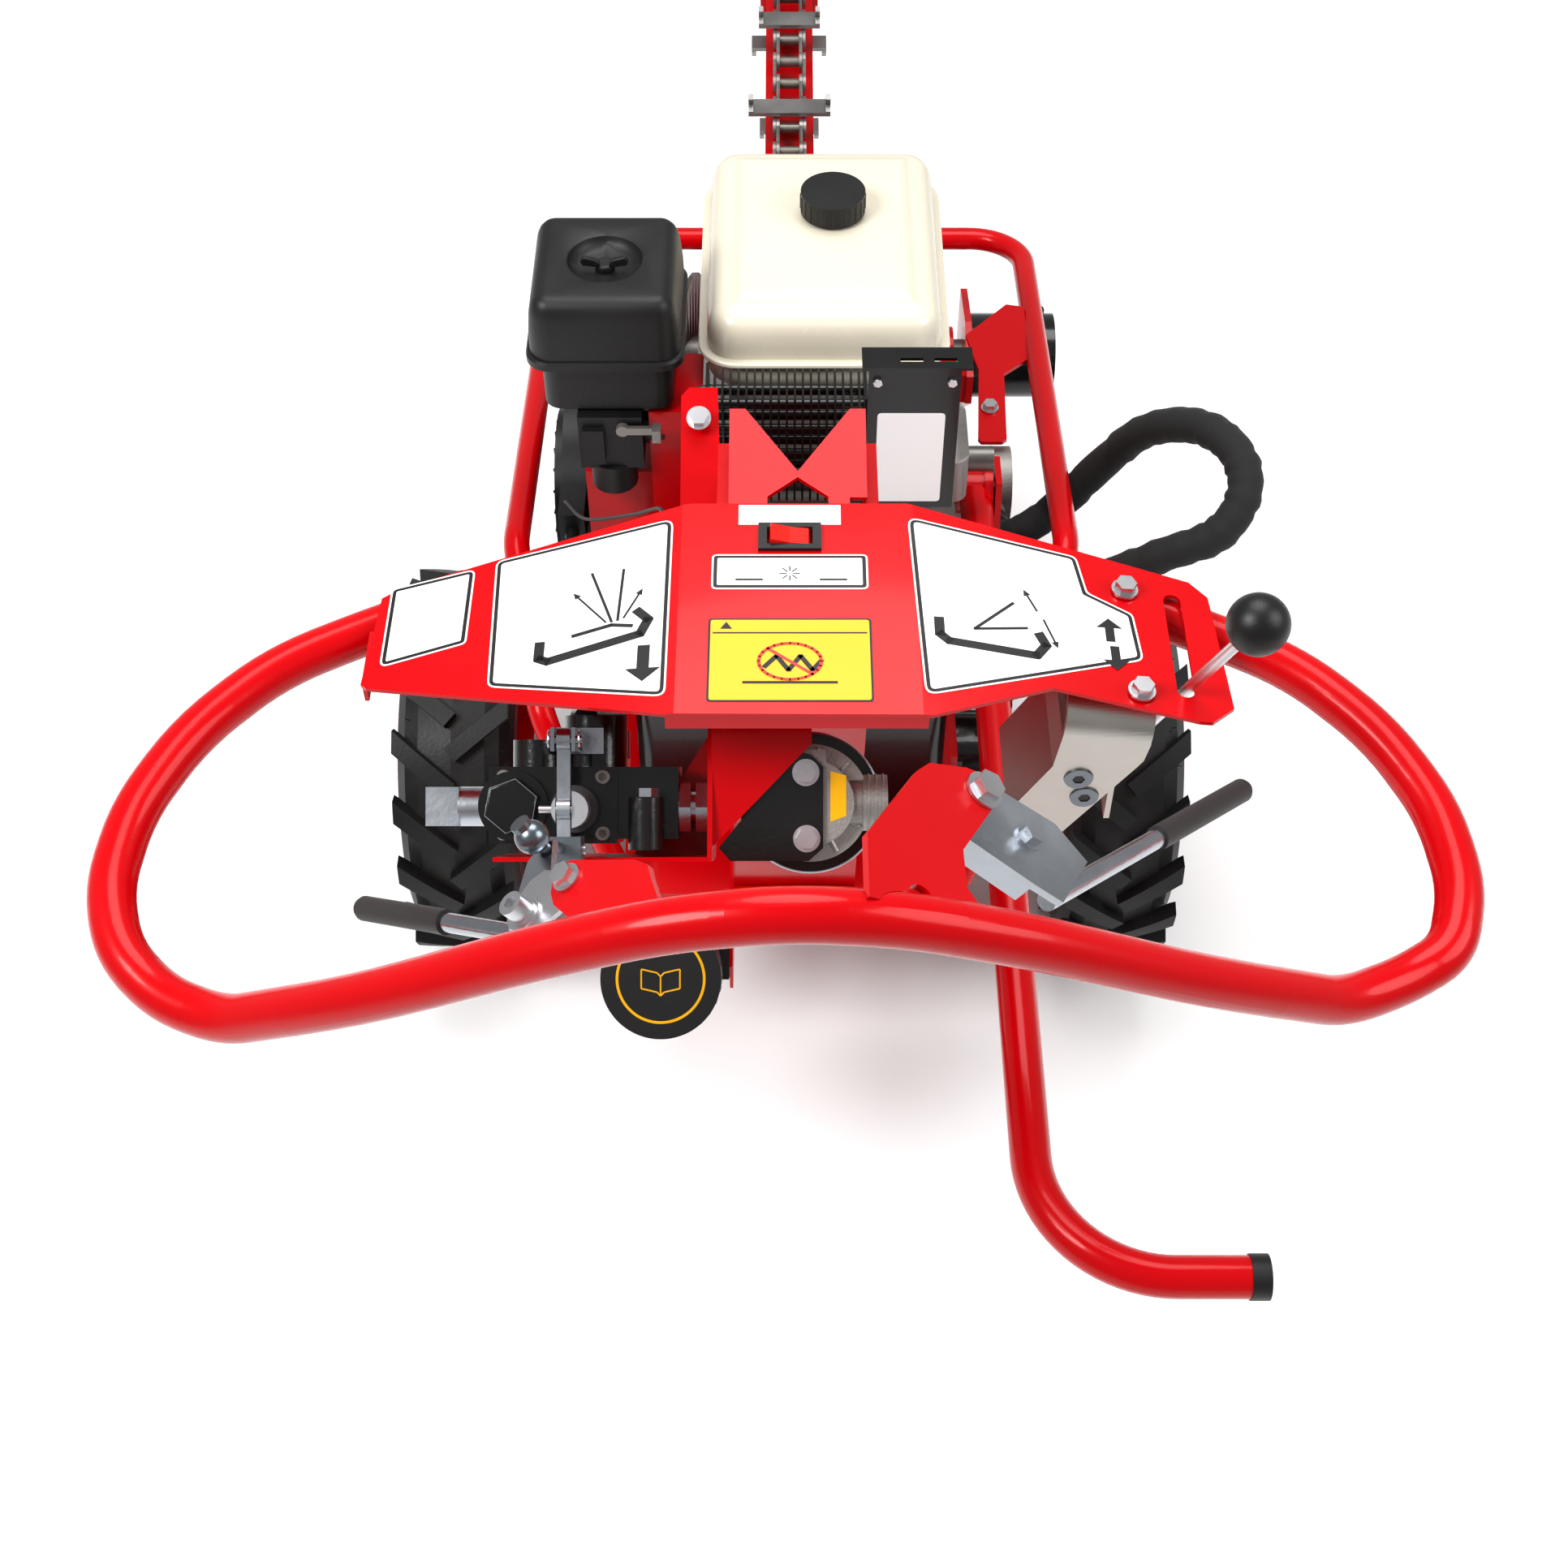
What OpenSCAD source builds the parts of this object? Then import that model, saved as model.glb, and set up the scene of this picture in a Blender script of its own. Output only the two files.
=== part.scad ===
/* [Handlebar] */
// Handlebar and lift lever tube diameter
tube_d = 31.75; // [25:0.25:38]

/* [Wheels] */
// Drive tyre diameter over the lugs
tyre_d = 406; // [380:1:420]
// Drive tyre width
tyre_w = 118; // [112:1:120]
// Distance from the centreline to each drive tyre centre
half_track = 338; // [336:1:344]

/* [Digging chain] */
// Chain pitch
pitch = 42; // [38:0.5:42]
// Straight links on each run of the chain
run_links = 18; // [12:1:20]
// Boom angle above horizontal at rest
boom_rest = 8; // [4:0.5:10]

/* [Panel] */
// Control panel sheet thickness
sheet = 3; // [2:0.5:4]

/* [Hidden] */
$fn = 48;
xo = 6;
yo = -270.956;
cx = 3;
teeth = 8;
cr = pitch / (2 * sin(180 / teeth));
boom_l = run_links * pitch;
hy = 560;
hz = 300;
axle_z = tyre_d / 2;
tr = tube_d / 2;
red = [0.75, 0.02, 0.02];
black = [0.08, 0.08, 0.08];
steel = [0.7, 0.7, 0.72];

// helpers
function unit(v) = v / norm(v);
module at() { translate([xo, yo, 0]) children(); }
module con(p = [0, 0, 0]) { translate([0, -570, 838]) rotate([40, 0, 0]) translate(p) children(); }
module yz(h, x0) { translate([x0, 0, 0]) rotate([90, 0, 90]) linear_extrude(h) children(); }
module box(a, b) { translate(a) cube(b - a); }
module xcyl(x0, x1, y, z, r) { translate([x0, y, z]) rotate([0, 90, 0]) cylinder(r = r, h = x1 - x0); }
module seg(p, q, r, r2 = 0) {
  v = q - p;
  l = norm(v);
  translate(p) rotate([0, acos(v[2] / l), atan2(v[1], v[0])]) cylinder(r1 = r, r2 = r2 > 0 ? r2 : r, h = l);
}
module toward(p, v) { translate(p) rotate([0, acos(v[2] / norm(v)), atan2(v[1], v[0])]) children(); }
module elbow(b, u, w, bend, r) {
  c = u * w;
  th = acos(c);
  t = bend * tan(th / 2);
  m = unit(w - u * c);
  s = b - u * t + m * bend;
  z = cross(-m, u);
  multmatrix([[-m[0], u[0], z[0], s[0]], [-m[1], u[1], z[1], s[1]], [-m[2], u[2], z[2], s[2]]])
    rotate([0, 0, -0.3]) rotate_extrude(angle = th + 0.6) translate([bend, 0]) circle(r - 0.06);
}
function turn(a, b, c) = acos(unit(b - a) * unit(c - b));
// bend radius at vertex i that uses half of the shorter neighbouring length
function soft(p, i, n) =
  let (a = p[(i + n - 1) % n], b = p[i % n], c = p[(i + 1) % n])
  0.44 * min(norm(b - a), norm(c - b)) / tan(turn(a, b, c) / 2);
function cut(p, i, n, bend) = (bend > 0 ? bend : soft(p, i, n))
  * tan(turn(p[(i + n - 1) % n], p[i % n], p[(i + 1) % n]) / 2);
module pipe(p, r, closed = false, bend = 0) {
  n = len(p);
  for (i = [0 : closed ? n - 1 : n - 2]) {
    a = p[i];
    b = p[(i + 1) % n];
    u = unit(b - a);
    ca = closed || i > 0 ? cut(p, i, n, bend) : 0;
    cb = closed || i < n - 2 ? cut(p, (i + 1) % n, n, bend) : 0;
    seg(a + u * ca, b - u * cb, r);
    if (closed || i < n - 2)
      elbow(b, u, unit(p[(i + 2) % n] - b), bend > 0 ? bend : soft(p, (i + 1) % n, n), r);
  }
}
module rrect(a, b, r) {
  translate(a + [r, 0]) square([b[0] - a[0] - 2 * r, b[1] - a[1]]);
  translate(a + [0, r]) square([b[0] - a[0], b[1] - a[1] - 2 * r]);
  for (x = [a[0] + r, b[0] - r], y = [a[1] + r, b[1] - r]) translate([x, y]) circle(r);
}
// flange head hex bolt, head up, underside at the origin
module hexbolt(af, h, under) {
  cylinder(r = af * 0.72, h = h * 0.25);
  cylinder(r = af / 2 / cos(30), h = h, $fn = 6);
  if (under > 0) translate([0, 0, -under]) cylinder(r = af * 0.3, h = under);
}
// chain path: pin i as [along, across]
function pin(i) =
  i <= run_links ? [i * pitch, cr] :
  i <= run_links + 4 ? [boom_l + cr * cos(90 - 45 * (i - run_links)), cr * sin(90 - 45 * (i - run_links))] :
  i <= 2 * run_links + 4 ? [boom_l - (i - run_links - 4) * pitch, -cr] :
  [cr * cos(270 - 45 * (i - 2 * run_links - 4)), cr * sin(270 - 45 * (i - 2 * run_links - 4))];
links = 2 * run_links + 8;
module on_boom() { translate([0, hy, hz]) rotate([boom_rest, 0, 0]) children(); }
module at_link(i) {
  a = pin(i);
  b = pin((i + 1) % links);
  translate([0, a[0], a[1]]) rotate([atan2(b[1] - a[1], b[0] - a[0]), 0, 0]) children();
}

// frame
module chassis_frame() color(red) at() {
  difference() {
    union() {
      box([-165, -246, 277], [165, 440, 285]);
      for (x = [-165, 157]) box([x, -246, 225], [x + 8, 440, 278]);
      box([-158, -246, 225], [158, -238, 278]);
      for (x = [-173, 165]) box([x, -62, 135], [x + 8, 62, 277]);
      for (x = [-70, 60]) yz(10, x)
        polygon([[380, 215], [600, 215], [622, 245], [622, 345], [614, 424], [586, 424], [560, 372],
          [380, 350]]);
      box([69, 472, 300], [215, 508, 340]);
      yz(8, 207) polygon([[470, 300], [470, 340], [540, 366], [624, 350], [624, 250], [540, 236]]);
      box([164, 22, 277], [204, 98, 285]);
      yz(6, 198) polygon([[22, 278], [98, 278], [98, 500], [80, 562], [40, 562], [22, 500]]);
      for (x = [-158, 150]) box([x, 410, 80], [x + 8, 440, 278]);
      xcyl(-250, 250, 430, 100, 14);
      for (x = [-250, -192, 186, 244]) xcyl(x, x + 6, 430, 100, 22);
      xcyl(-84, -69, hy, hz, 34);
    }
    box([-60, 430, 200], [60, 700, 500]);
    xcyl(-100, -50, hy, hz, 19.1);
    xcyl(50, 80, hy, hz, 30.1);
    xcyl(200, 220, hy, hz, 19.6);
    xcyl(-180, 180, 0, axle_z, 40);
  }
  intersection() {
    difference() { xcyl(-60, 60, hy, hz, 118); xcyl(-61, 61, hy, hz, 115); }
    box([-60, 420, 300], [60, 545, 440]);
  }
  xcyl(160, 199, 60, 535, 12.5);
  for (s = [-1, 1]) box([s * 120 - 20, 150, 285], [s * 120 + 20, 330, 289]);
}
module mast() color(red) at() {
  for (x = [-56, 59]) yz(3, x)
    polygon([[-236, 285], [-160, 285], [-292, 903], [-386, 903], [-386, 887], [-397, 887]]);
  yz(115, -56) polygon([[-236, 285], [-233, 285], [-394, 887], [-397, 887]]);
  translate([0, 0, 900]) linear_extrude(3) {
    polygon([[-63, -386], [-44, -386], [-44, -292], [-56, -292], [-56, -364], [-63, -364]]);
    polygon([[41, -386], [62, -386], [62, -292], [50, -292], [50, -364], [41, -364]]);
  }
  yz(3, -47) polygon([[-376, 898], [-292, 898], [-292, 936], [-376, 913.5]]);
  yz(3, 50) polygon([[-366, 898], [-292, 898], [-292, 936], [-366, 916.18]]);
  difference() {
    translate([-47, -401, 905]) rotate([15, 0, 0]) translate([0, 26, 0]) cube([100, 87, 3]);
    // corner left off beside the right-hand nut
    box([40.5, -395, 895], [60, -366.6, 940]);
    translate([0, 0, 880]) linear_extrude(100) {
      polygon([[cx, -345], [cx + 44, -285], [cx - 44, -285]]);
      polygon([[cx, -350], [cx + 22, -366], [cx + 22, -386], [cx - 22, -386], [cx - 22, -366]]);
    }
  }
  translate([0, -270, 870]) rotate([30, 0, 0]) linear_extrude(3)
    polygon([[-86, 48], [-80, 55], [-58, 55], [-54, -60], [-70, -60], [-86, -38]]);
  yz(3, -56) polygon([[-404, 352], [-372, 345], [-235, 380], [-235, 440], [-282, 440], [-404, 385]]);
}
module console_bracket() color(red) at() {
  con([0, 0, 0]) linear_extrude(3) polygon([[-57, 42], [12, 42], [12, 28], [-55, -42], [-57, -42]]);
  yz(3.5, -59.6) polygon([[-536, 864], [-618.3, 813.1], [-564.3, 748.8], [-330, 720], [-350, 880]]);
  con([-206, -53, -72]) cube([147.5, 3, 84]);
  con([0, 0, -63]) linear_extrude(3) polygon([[-58, 40], [-58, -51], [-115, -51]]);
  yz(6.5, -65) polygon([[-420, 740], [-385, 730], [-380, 770], [-410, 780]]);
}
module control_panel() color(red) at() difference() {
  union() {
    intersection() {
      translate([0, -380, 0]) rotate([90, 0, 0]) linear_extrude(210)
        polygon([[-300, 906.8], [-79, 930], [84, 930], [300, 907.3], [300, 907.3 - sheet], [84, 930 - sheet],
          [-79, 930 - sheet], [-300, 906.8 - sheet]]);
      translate([0, 0, 880]) linear_extrude(60)
        polygon([[-74, -387], [-275, -452], [-287, -460], [-292, -541], [-288, -545], [-85, -587], [90, -588],
          [172, -556], [268, -577], [277, -577], [293, -563], [288, -460], [276, -446], [80, -387]]);
    }
    translate([-85, -586, 914]) cube([173, 3, 14.5]);
    translate([-292, -538, 888]) cube([3, 48, 18]);
  }
  box([-23, -434, 920], [17, -411, 935]);
  translate([0, 0, 890]) linear_extrude(40) {
    translate([262, -466]) circle(6);
    translate([262, -550]) circle(6);
    translate([256, -550]) square([12, 84]);
  }
}
half = [[0, -395, 908], [-200, -436, 896.5], [-292, -470, 886], [-353, -502, 882], [-404, -556, 875],
  [-434, -618, 866],
  [-441, -674, 856], [-428, -718, 848], [-396, -750, 842], [-352, -772, 848], [-252, -804, 918],
  [-140, -824, 994], [-66, -834, 1034]];
bar = [for (p = half) p + [-6, 0, 0]];
// the right-hand grip stands a little further forward
function mir(p) = [-p[0] - 12, p[1] + (p[1] < -740 ? min(14, -0.05 * p[0]) : 0), p[2]];
loop = concat(bar, [[-6, -838, 1050]], [for (i = [len(bar) - 1 : -1 : 1]) mir(bar[i])]);
module handlebar() color(red) at() pipe(loop, tr, closed = true);
rear = [bar[10], bar[11], bar[12], [-6, -838, 1050], mir(bar[12]), mir(bar[11]), mir(bar[10])];
// lever planes tilt down outward like the bar
module tilt(p, s) { translate(p) rotate([0, 35 * s, 0]) children(); }
clp = [-155, -768, 948];
dlp = [103.1, -719, 1000.4];
module lever_brackets() color(red) at() difference() {
  union() {
    // wheel drive side
    tilt(dlp, 1) translate([0, 0, 5.4]) linear_extrude(5) difference() {
      polygon([[-39, 3], [-11, 13], [0, 14], [10, 10], [14, 0], [5.4, -12], [-17.8, -51.4], [-16.7, -78],
        [-9, -86], [-9, -102], [-86, -114], [-86, -70.4], [-48, -7]]);
      circle(6.3);
      translate([-50, -100]) circle(9);
    }
    // chain side
    tilt(clp, -1) translate([0, 0, 8.7]) linear_extrude(5) difference() {
      polygon([[25, 14], [30, 20], [38, 20], [86, -1], [96, -9], [99, -20], [112, -58], [70, -58], [27,
        -8], [24, 2]]);
      translate([36.5, 7]) circle(4.5);
    }
  }
  pipe(rear, tr + 0.25);
}
module fasteners() color(steel) at() {
  for (p = [[229, -460], [231, -555]]) translate([p[0], p[1], 916]) rotate([0, 6, 0]) hexbolt(13, 8, 0);
  for (x = [-55, 49.3]) translate([x, -375, 903.3]) hexbolt(10, 9, 0);
  con([8, 8, 0.4]) hexbolt(13, 8, 0);
  con([8.6, -37.5, 0.4]) hexbolt(13, 8, 0);
  translate([-72, -252, 893]) rotate([30, 0, 0]) hexbolt(13, 8, 0);
  translate([212, 262, 468.4]) hexbolt(13, 8, 0);
  // drive lever pivot bolt and its nut
  tilt(dlp, 1) {
    translate([0, 0, 10.7]) hexbolt(17, 9, 0);
    translate([0, 0, -8]) cylinder(r = 6, h = 19);
    translate([0, 0, -8]) cylinder(r = 9.5, h = 7.6, $fn = 6);
  }
  // chain lever pivot screw on its plate, and the bolt that clamps it
  tilt(clp, -1) {
    translate([0, 0, 5.4]) linear_extrude(3) difference() {
      polygon([[-12, -6], [-9, 12], [2, 24], [13, 27], [24, 22], [46, 18], [48, 0], [20, -12], [0, -13]]);
      translate([36.5, 7]) circle(4);
    }
    difference() {
      union() {
        translate([0, 0, -3]) cylinder(r = 6, h = 10);
        translate([0, 0, -3]) cylinder(r = 7.4, h = 2.6);
        translate([0, 0, 8.3]) cylinder(r = 12, h = 2);
        translate([0, 0, 10.2]) cylinder(r = 9.5, h = 1.8);
        translate([0, 0, 11.9]) cylinder(r = 8, h = 10);
      }
      translate([0, 0, 18]) cylinder(r = 4.6, h = 5, $fn = 6);
    }
    translate([36.5, 7, 13.9]) hexbolt(13, 8, 9);
    translate([36.5, 7, -2]) cylinder(r = 6.5, h = 7, $fn = 6);
  }
}
module switch_bezel() color(black) at() difference() {
  box([-25, -435.5, 930.2], [19, -409.5, 933]);
  box([-19, -431, 920], [13, -414, 940]);
}
module ignition_rocker() color(red) at() translate([-3, -422.5, 928]) rotate([90, 0, 0]) {
  translate([0, 0, -8]) linear_extrude(16)
    polygon([[-13.8, 7.5], [-13, 9], [0, 5.5], [13, 4], [13.8, 3], [11, -4], [3, -8], [-3, -8], [-11, -4]]);
  cylinder(r = 2, h = 16.6, center = true);
}
module chain_valve() color(black) at() {
  con() difference() {
    union() {
    translate([-211, -41, -62]) cube([89, 53, 58]);
    translate([-124, -38, -58]) cube([44, 50, 52]);
    translate([-139, 28, -60]) rotate([90, 0, 0]) cylinder(r = 22, h = 20, center = true);
    translate([-139, 48, -34]) rotate([90, 0, 0]) cylinder(r = 22, h = 40);
    translate([-179, 31, -34]) rotate([90, 0, 0]) cylinder(r = 18.5, h = 22);
    translate([-193.5, -15, -6]) cylinder(r = 24, h = 8);
    translate([-102, -9, 3]) rotate([90, 0, 0]) cylinder(r = 12, h = 36);
    translate([-151, -17, -6]) cylinder(r = 17, h = 10);
    }
    translate([-151, -17, -40]) cylinder(r = 8.05, h = 50);
  }
}
module valve_fittings() color(steel) at() con() {
  translate([-193.5, -15, 2.2]) rotate([0, 0, 20]) cylinder(r = 19, h = 13, $fn = 6);
  translate([-233, -15.5, -20]) difference() {
    rotate([0, 90, 0]) cylinder(r = 13.8, h = 22);
    translate([-1, 0, 0]) rotate([0, 90, 0]) cylinder(r = 7, h = 12);
  }
  translate([-255, -29, -34]) cube([23, 27, 27]);
  for (x = [-79.5, -68]) translate([x, -16, -20]) rotate([0, 90, 0]) cylinder(r = 19.5, h = 8, $fn = 6);
  translate([-80, -16, -20]) rotate([0, 90, 0]) cylinder(r = 11, h = 20);
  translate([-102, -8.7, 3]) rotate([-90, 0, 0]) cylinder(r = 8.2, h = 6, $fn = 6);
  // clevis of the link bar
  translate([-164, 21, -11.7]) cube([32, 18, 3]);
  for (x = [-163.5, -149.5]) translate([x, 22, -11]) cube([2.5, 16, 52]);
  translate([-167, 30, 34]) rotate([0, 90, 0]) cylinder(r = 3, h = 24);
}
module valve_spool() color(steel) at() con() {
  difference() {
    union() {
      translate([-151, -17, -28]) cylinder(r = 8, h = 50);
      translate([-151, -17, 18]) cylinder(r = 12.5, h = 20);
    }
    translate([-160.5, -40, 24.5]) cube([11, 50, 20]);
  }
  translate([-172, -17, 34]) rotate([0, 90, 0]) cylinder(r = 2.5, h = 32);
}
vb = [-155, 30, 34];
module valve_bar() color(steel) at() con() difference() {
  union() {
    translate(vb + [-4.5, -72, -4]) cube([9, 72, 8]);
    for (y = [0, -47]) translate(vb + [0, y, 0]) rotate([0, 90, 0]) cylinder(r = 8, h = 9, center = true);
    translate(vb + [0, -74, 0]) rotate([0, 90, 0]) cylinder(r = 8, h = 9, center = true);
    translate(vb + [-14.5, -74, 0]) rotate([0, 90, 0]) cylinder(r = 3.2, h = 29);
  }
  translate(vb) rotate([0, 90, 0]) cylinder(r = 3.05, h = 20, center = true);
  translate(vb + [0, -47, 0]) rotate([0, 90, 0]) cylinder(r = 4.2, h = 20, center = true);
}
ball = [8, 49, 17];
module chain_lever() color(steel) at() tilt(clp, -1) {
  difference() {
    union() {
      cylinder(r = 14, h = 5);
      linear_extrude(5)
        polygon([[-14, -4], [-13, 10], [-5, 43], [2, 50], [5, 53], [14, 53], [15, 0], [8, -12]]);
    }
    translate([0, 0, -1]) cylinder(r = 6.05, h = 8);
  }
  seg([-12, -2.3, -5], [-150, 76, -5], 6.3);
  translate([ball[0], ball[1], 4]) cylinder(r = 3.5, h = 10);
  translate(ball) sphere(7);
}
module grip(a, b, r, bore) {
  d = unit(b - a);
  difference() {
    union() {
      seg(a, b, r);
      seg(b - d, b + d * 3, r - 1.4);
      seg(b, b + d * 2, r - 0.3, r - 1.5);
    }
    seg(a - d, b - d * 4, bore);
  }
}
module chain_lever_grip() color(black) at() tilt(clp, -1) grip([-78, 35.2, -5], [-154, 78.3, -5], 8.2, 6.36);
// ball of the chain lever and far pin of the link bar, in plain coordinates
bc = [-158.198, -719, 966.514];
bpin = [-155, -625.561, 835.763];
module chain_pull_rod() color(steel) at() {
  d = unit(bpin - bc);
  difference() {
    union() {
      translate(bc) sphere(10.6);
      toward(bc, [-0.56248, 0.206709, 0.800555]) cylinder(r = 6.5, h = 12.4);
    }
    translate(bc) sphere(7.06);
    tilt(bc, -1) translate([0, 0, -14]) cylinder(r = 6, h = 14);
  }
  difference() {
    union() {
      seg(bc + 9 * d, bpin - 17 * d, 3.6);
      seg(bc + 10 * d, bc + 24 * d, 4.6);
      con(vb + [-13, -83, 16]) cube([26, 18, 5]);
      for (x = [-13, 9.5]) con(vb + [x, -83, -8]) cube([3.5, 18, 25]);
    }
    translate(bc) sphere(7.06);
    con(vb + [-20, -74, 0]) rotate([0, 90, 0]) cylinder(r = 4.7, h = 40);
  }
}
function on_rod(t) = [66.4 + 0.7347 * t, -37.3 + 0.6784 * t, -5.6];
module drive_lever() color(steel) at() tilt(dlp, 1) {
  difference() {
    union() {
      cylinder(r = 14, h = 5);
      linear_extrude(5) polygon([[-12, -8], [0, 14], [20.5, 13.6], [61, 7.5], [84.4, -11], [61, -51.5],
        [40, -47.7], [-7.7, -36.2]]);
    }
    translate([0, 0, -1]) cylinder(r = 6.05, h = 8);
  }
  translate([-7.7, -36.2, 0]) rotate([0, 0, -13.6]) translate([0, 0, -13]) cube([49, 4, 15]);
  seg(on_rod(-12), on_rod(242.5), 6.35);
  translate([38, -13.5, 5]) hexbolt(13, 8, 0);
}
module drive_lever_grip() color(black) at() tilt(dlp, 1) grip(on_rod(126), on_rod(247), 8.2, 6.4);
dv = [241, -500, 800];
dk = [285, -597, 1023];
module direction_lever() color(steel) at() {
  difference() {
    union() {
      seg(dv, dk - 12 * unit(dk - dv), 4);
      xcyl(229, 247, dv[1], dv[2], 11);
    }
    xcyl(220, 260, dv[1], dv[2], 5.05);
  }
}
module direction_knob() color(black) at() difference() {
  translate(dk) sphere(20);
  seg(dv, dk - 12 * unit(dk - dv), 4);
}
module direction_bracket() color(steel) at() {
  difference() {
    translate([0, -556, 0]) rotate([90, 0, 0]) linear_extrude(5)
      polygon([[182, 876], [243, 869], [240, 852], [236, 845], [190, 772], [150, 795], [178, 846]]);
    for (p = [[197, 834], [203, 814]]) translate([p[0], -562, p[1]]) rotate([-90, 0,
      0]) cylinder(r = 10.3, h = 4);
  }
  translate([182, -536, 876]) rotate([0, 6.5, 0]) {
    rotate([0, 90, 0]) intersection() {
      difference() { cylinder(r = 25, h = 61); translate([0, 0, -1]) cylinder(r = 20, h = 63); }
      translate([-30, -30, 0]) cube([30, 30, 61]);
    }
    translate([0, -0.5, 20]) cube([61, 60, 5]);
  }
  translate([0, -480, 0]) rotate([90, 0, 0]) linear_extrude(77) polygon([[150, 795], [154, 792], [183,
    843], [187, 876], [182, 876], [178, 846]]);
  translate([0, -480, 0]) rotate([90, 0, 0]) linear_extrude(77) polygon([[220, 785], [224, 785], [224,
    872], [220, 872]]);
  xcyl(221, 250, dv[1], dv[2], 5);
  for (p = [[197, 834], [203, 814]]) translate([p[0], -561.6, p[1]]) rotate([-90, 0, 0]) cylinder(r = 10,
    h = 5.6);
}
module drive_valve() color(black) at() {
  box([191, -540, 800], [219, -486, 860]);
  for (y = [-526, -500]) translate([205, y, 770]) cylinder(r = 9, h = 31);
}
module filter_plate() color(black) at() con([0, 0, -4]) difference() {
  linear_extrude(3.7) {
    polygon([[-52, -44], [-44, -53], [10, -53], [20, -44], [20, 12], [12, 20], [6, 22], [-10, 8]]);
  }
  for (y = [8, -37.5]) translate([8, y, -1]) cylinder(r = 4, h = 6);
}
module filter_head() color(steel) at() con() {
  translate([11.5, -13, -46]) cylinder(r = 41, h = 30);
  translate([11.5, -13, -26]) cylinder(r = 30, h = 21.5);
  translate([10, -13, -26]) rotate([0, 90, 0]) cylinder(r = 18.5, h = 50);
  translate([48, -13, -26]) rotate([0, 90, 0]) cylinder(r = 19.7, h = 17);
  translate([-16, -32, -26]) cube([38, 56, 21.5]);
}
module filter_canister() color(black) at() con() {
  translate([11.5, -13, -190]) cylinder(r = 47, h = 140);
  translate([11.5, -13, -53]) cylinder(r = 49, h = 6.8);
}
mc = [-109, -500, 504];
module manual_tube() color(black) at() translate(mc) rotate([40, 0, 0]) {
  difference() {
    translate([0, 0, -220]) cylinder(r = 46, h = 205);
    translate([0, 0, -215]) cylinder(r = 43, h = 210);
  }
  translate([44, -14, -200]) cube([8.7, 28, 50]);
}
module manual_tube_lid() color(black) at() translate(mc) rotate([40, 0, 0]) {
  difference() {
    translate([0, 0, -40]) cylinder(r = 50, h = 40);
    translate([0, 0, -41]) cylinder(r = 46.4, h = 36);
  }
}

// engine
ey = 200;
ez = 417;
module engine_block() color(steel) at() {
  for (s = [-1, 1]) box([s * 70 - 25, 120, 289.3], [s * 70 + 25, 350, 300]);
  box([-100, 130, 298], [130, 350, 480]);
  xcyl(-130, -98, ey, ez, 60);
  xcyl(128, 148, ey, ez, 75);
  xcyl(146, 162, ey, ez, 12);
  translate([15, 175, 410]) rotate([65, 0, 0]) {
    translate([0, 0, 60]) cube([120, 110, 210], center = true);
    for (k = [0 : 8]) translate([0, 0, 40 + k * 11]) cube([160, 136, 4], center = true);
    translate([0, 0, 152]) cube([140, 120, 20], center = true);
    translate([0, 0, 172]) cube([90, 80, 24], center = true);
  }
  for (s = [-60, 90]) box([s, 150, 478], [s + 14, 330, 640]);
}
module cooling_shroud() color(red) at() {
  difference() {
    box([-200, 60, 300], [-132, 330, 560]);
    box([-198, 62, 296], [-128, 328, 558]);
    xcyl(-202, -190, ey, ez, 90);
  }
  difference() {
    box([-134, 44, 500], [-84, 130, 648]);
    box([-131, 47, 490], [-80, 140, 645]);
    xcyl(-140, -120, 60, 618, 16.4);
  }
}
module recoil_housing() color(black) at() difference() {
  union() {
    xcyl(-232, -200.3, ey, ez, 112);
    xcyl(-243, -231, ey, ez, 80);
    box([-232, 62, 460], [-206, 110, 500]);
  }
  xcyl(-226, -200, ey, ez, 106);
  translate([-219, 60, 478]) rotate([-90, 0, 0]) cylinder(r = 3, h = 60);
}
module starter_grip() color(black) at() {
  translate([-219, 34, 478]) rotate([-90, 0, 0]) cylinder(r = 7, h = 27);
  box([-227, 20, 462], [-211, 36, 494]);
  translate([-219, 60, 478]) rotate([-90, 0, 0]) cylinder(r = 2.2, h = 55);
}
module air_cleaner() color(black) at() {
  difference() {
    translate([0, 0, 718]) linear_extrude(61) rrect([-239, 30], [-101, 178], 18);
    translate([-170, 104, 768]) cylinder(r = 26, h = 20);
  }
  translate([0, 0, 710]) linear_extrude(9) rrect([-243, 27], [-98, 181], 18);
  translate([0, 0, 652]) linear_extrude(60) rrect([-230, 40], [-110, 170], 14);
  translate([-170, 104, 766]) cylinder(r = 9, h = 9);
  box([-191, 100, 773], [-149, 108, 786]);
}
module carburettor() color(black) at() {
  box([-200, 32, 590], [-140, 88, 651.7]);
  translate([-170, 49, 561]) cylinder(r = 22, h = 31);
  xcyl(-142, -122, 60, 618, 16);
  translate([-170, 49, 550]) cylinder(r = 6, h = 14, $fn = 6);
  box([-196, 26, 600], [-176, 34, 640]);
}
module choke_lever() color(steel) at() translate([-158, 31.6, 640]) rotate([90, 0, 0]) {
  cylinder(r = 6, h = 6);
  translate([0, -4, 2]) cube([34, 8, 4]);
  translate([28, -7, 2]) cube([8, 14, 12]);
}
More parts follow.
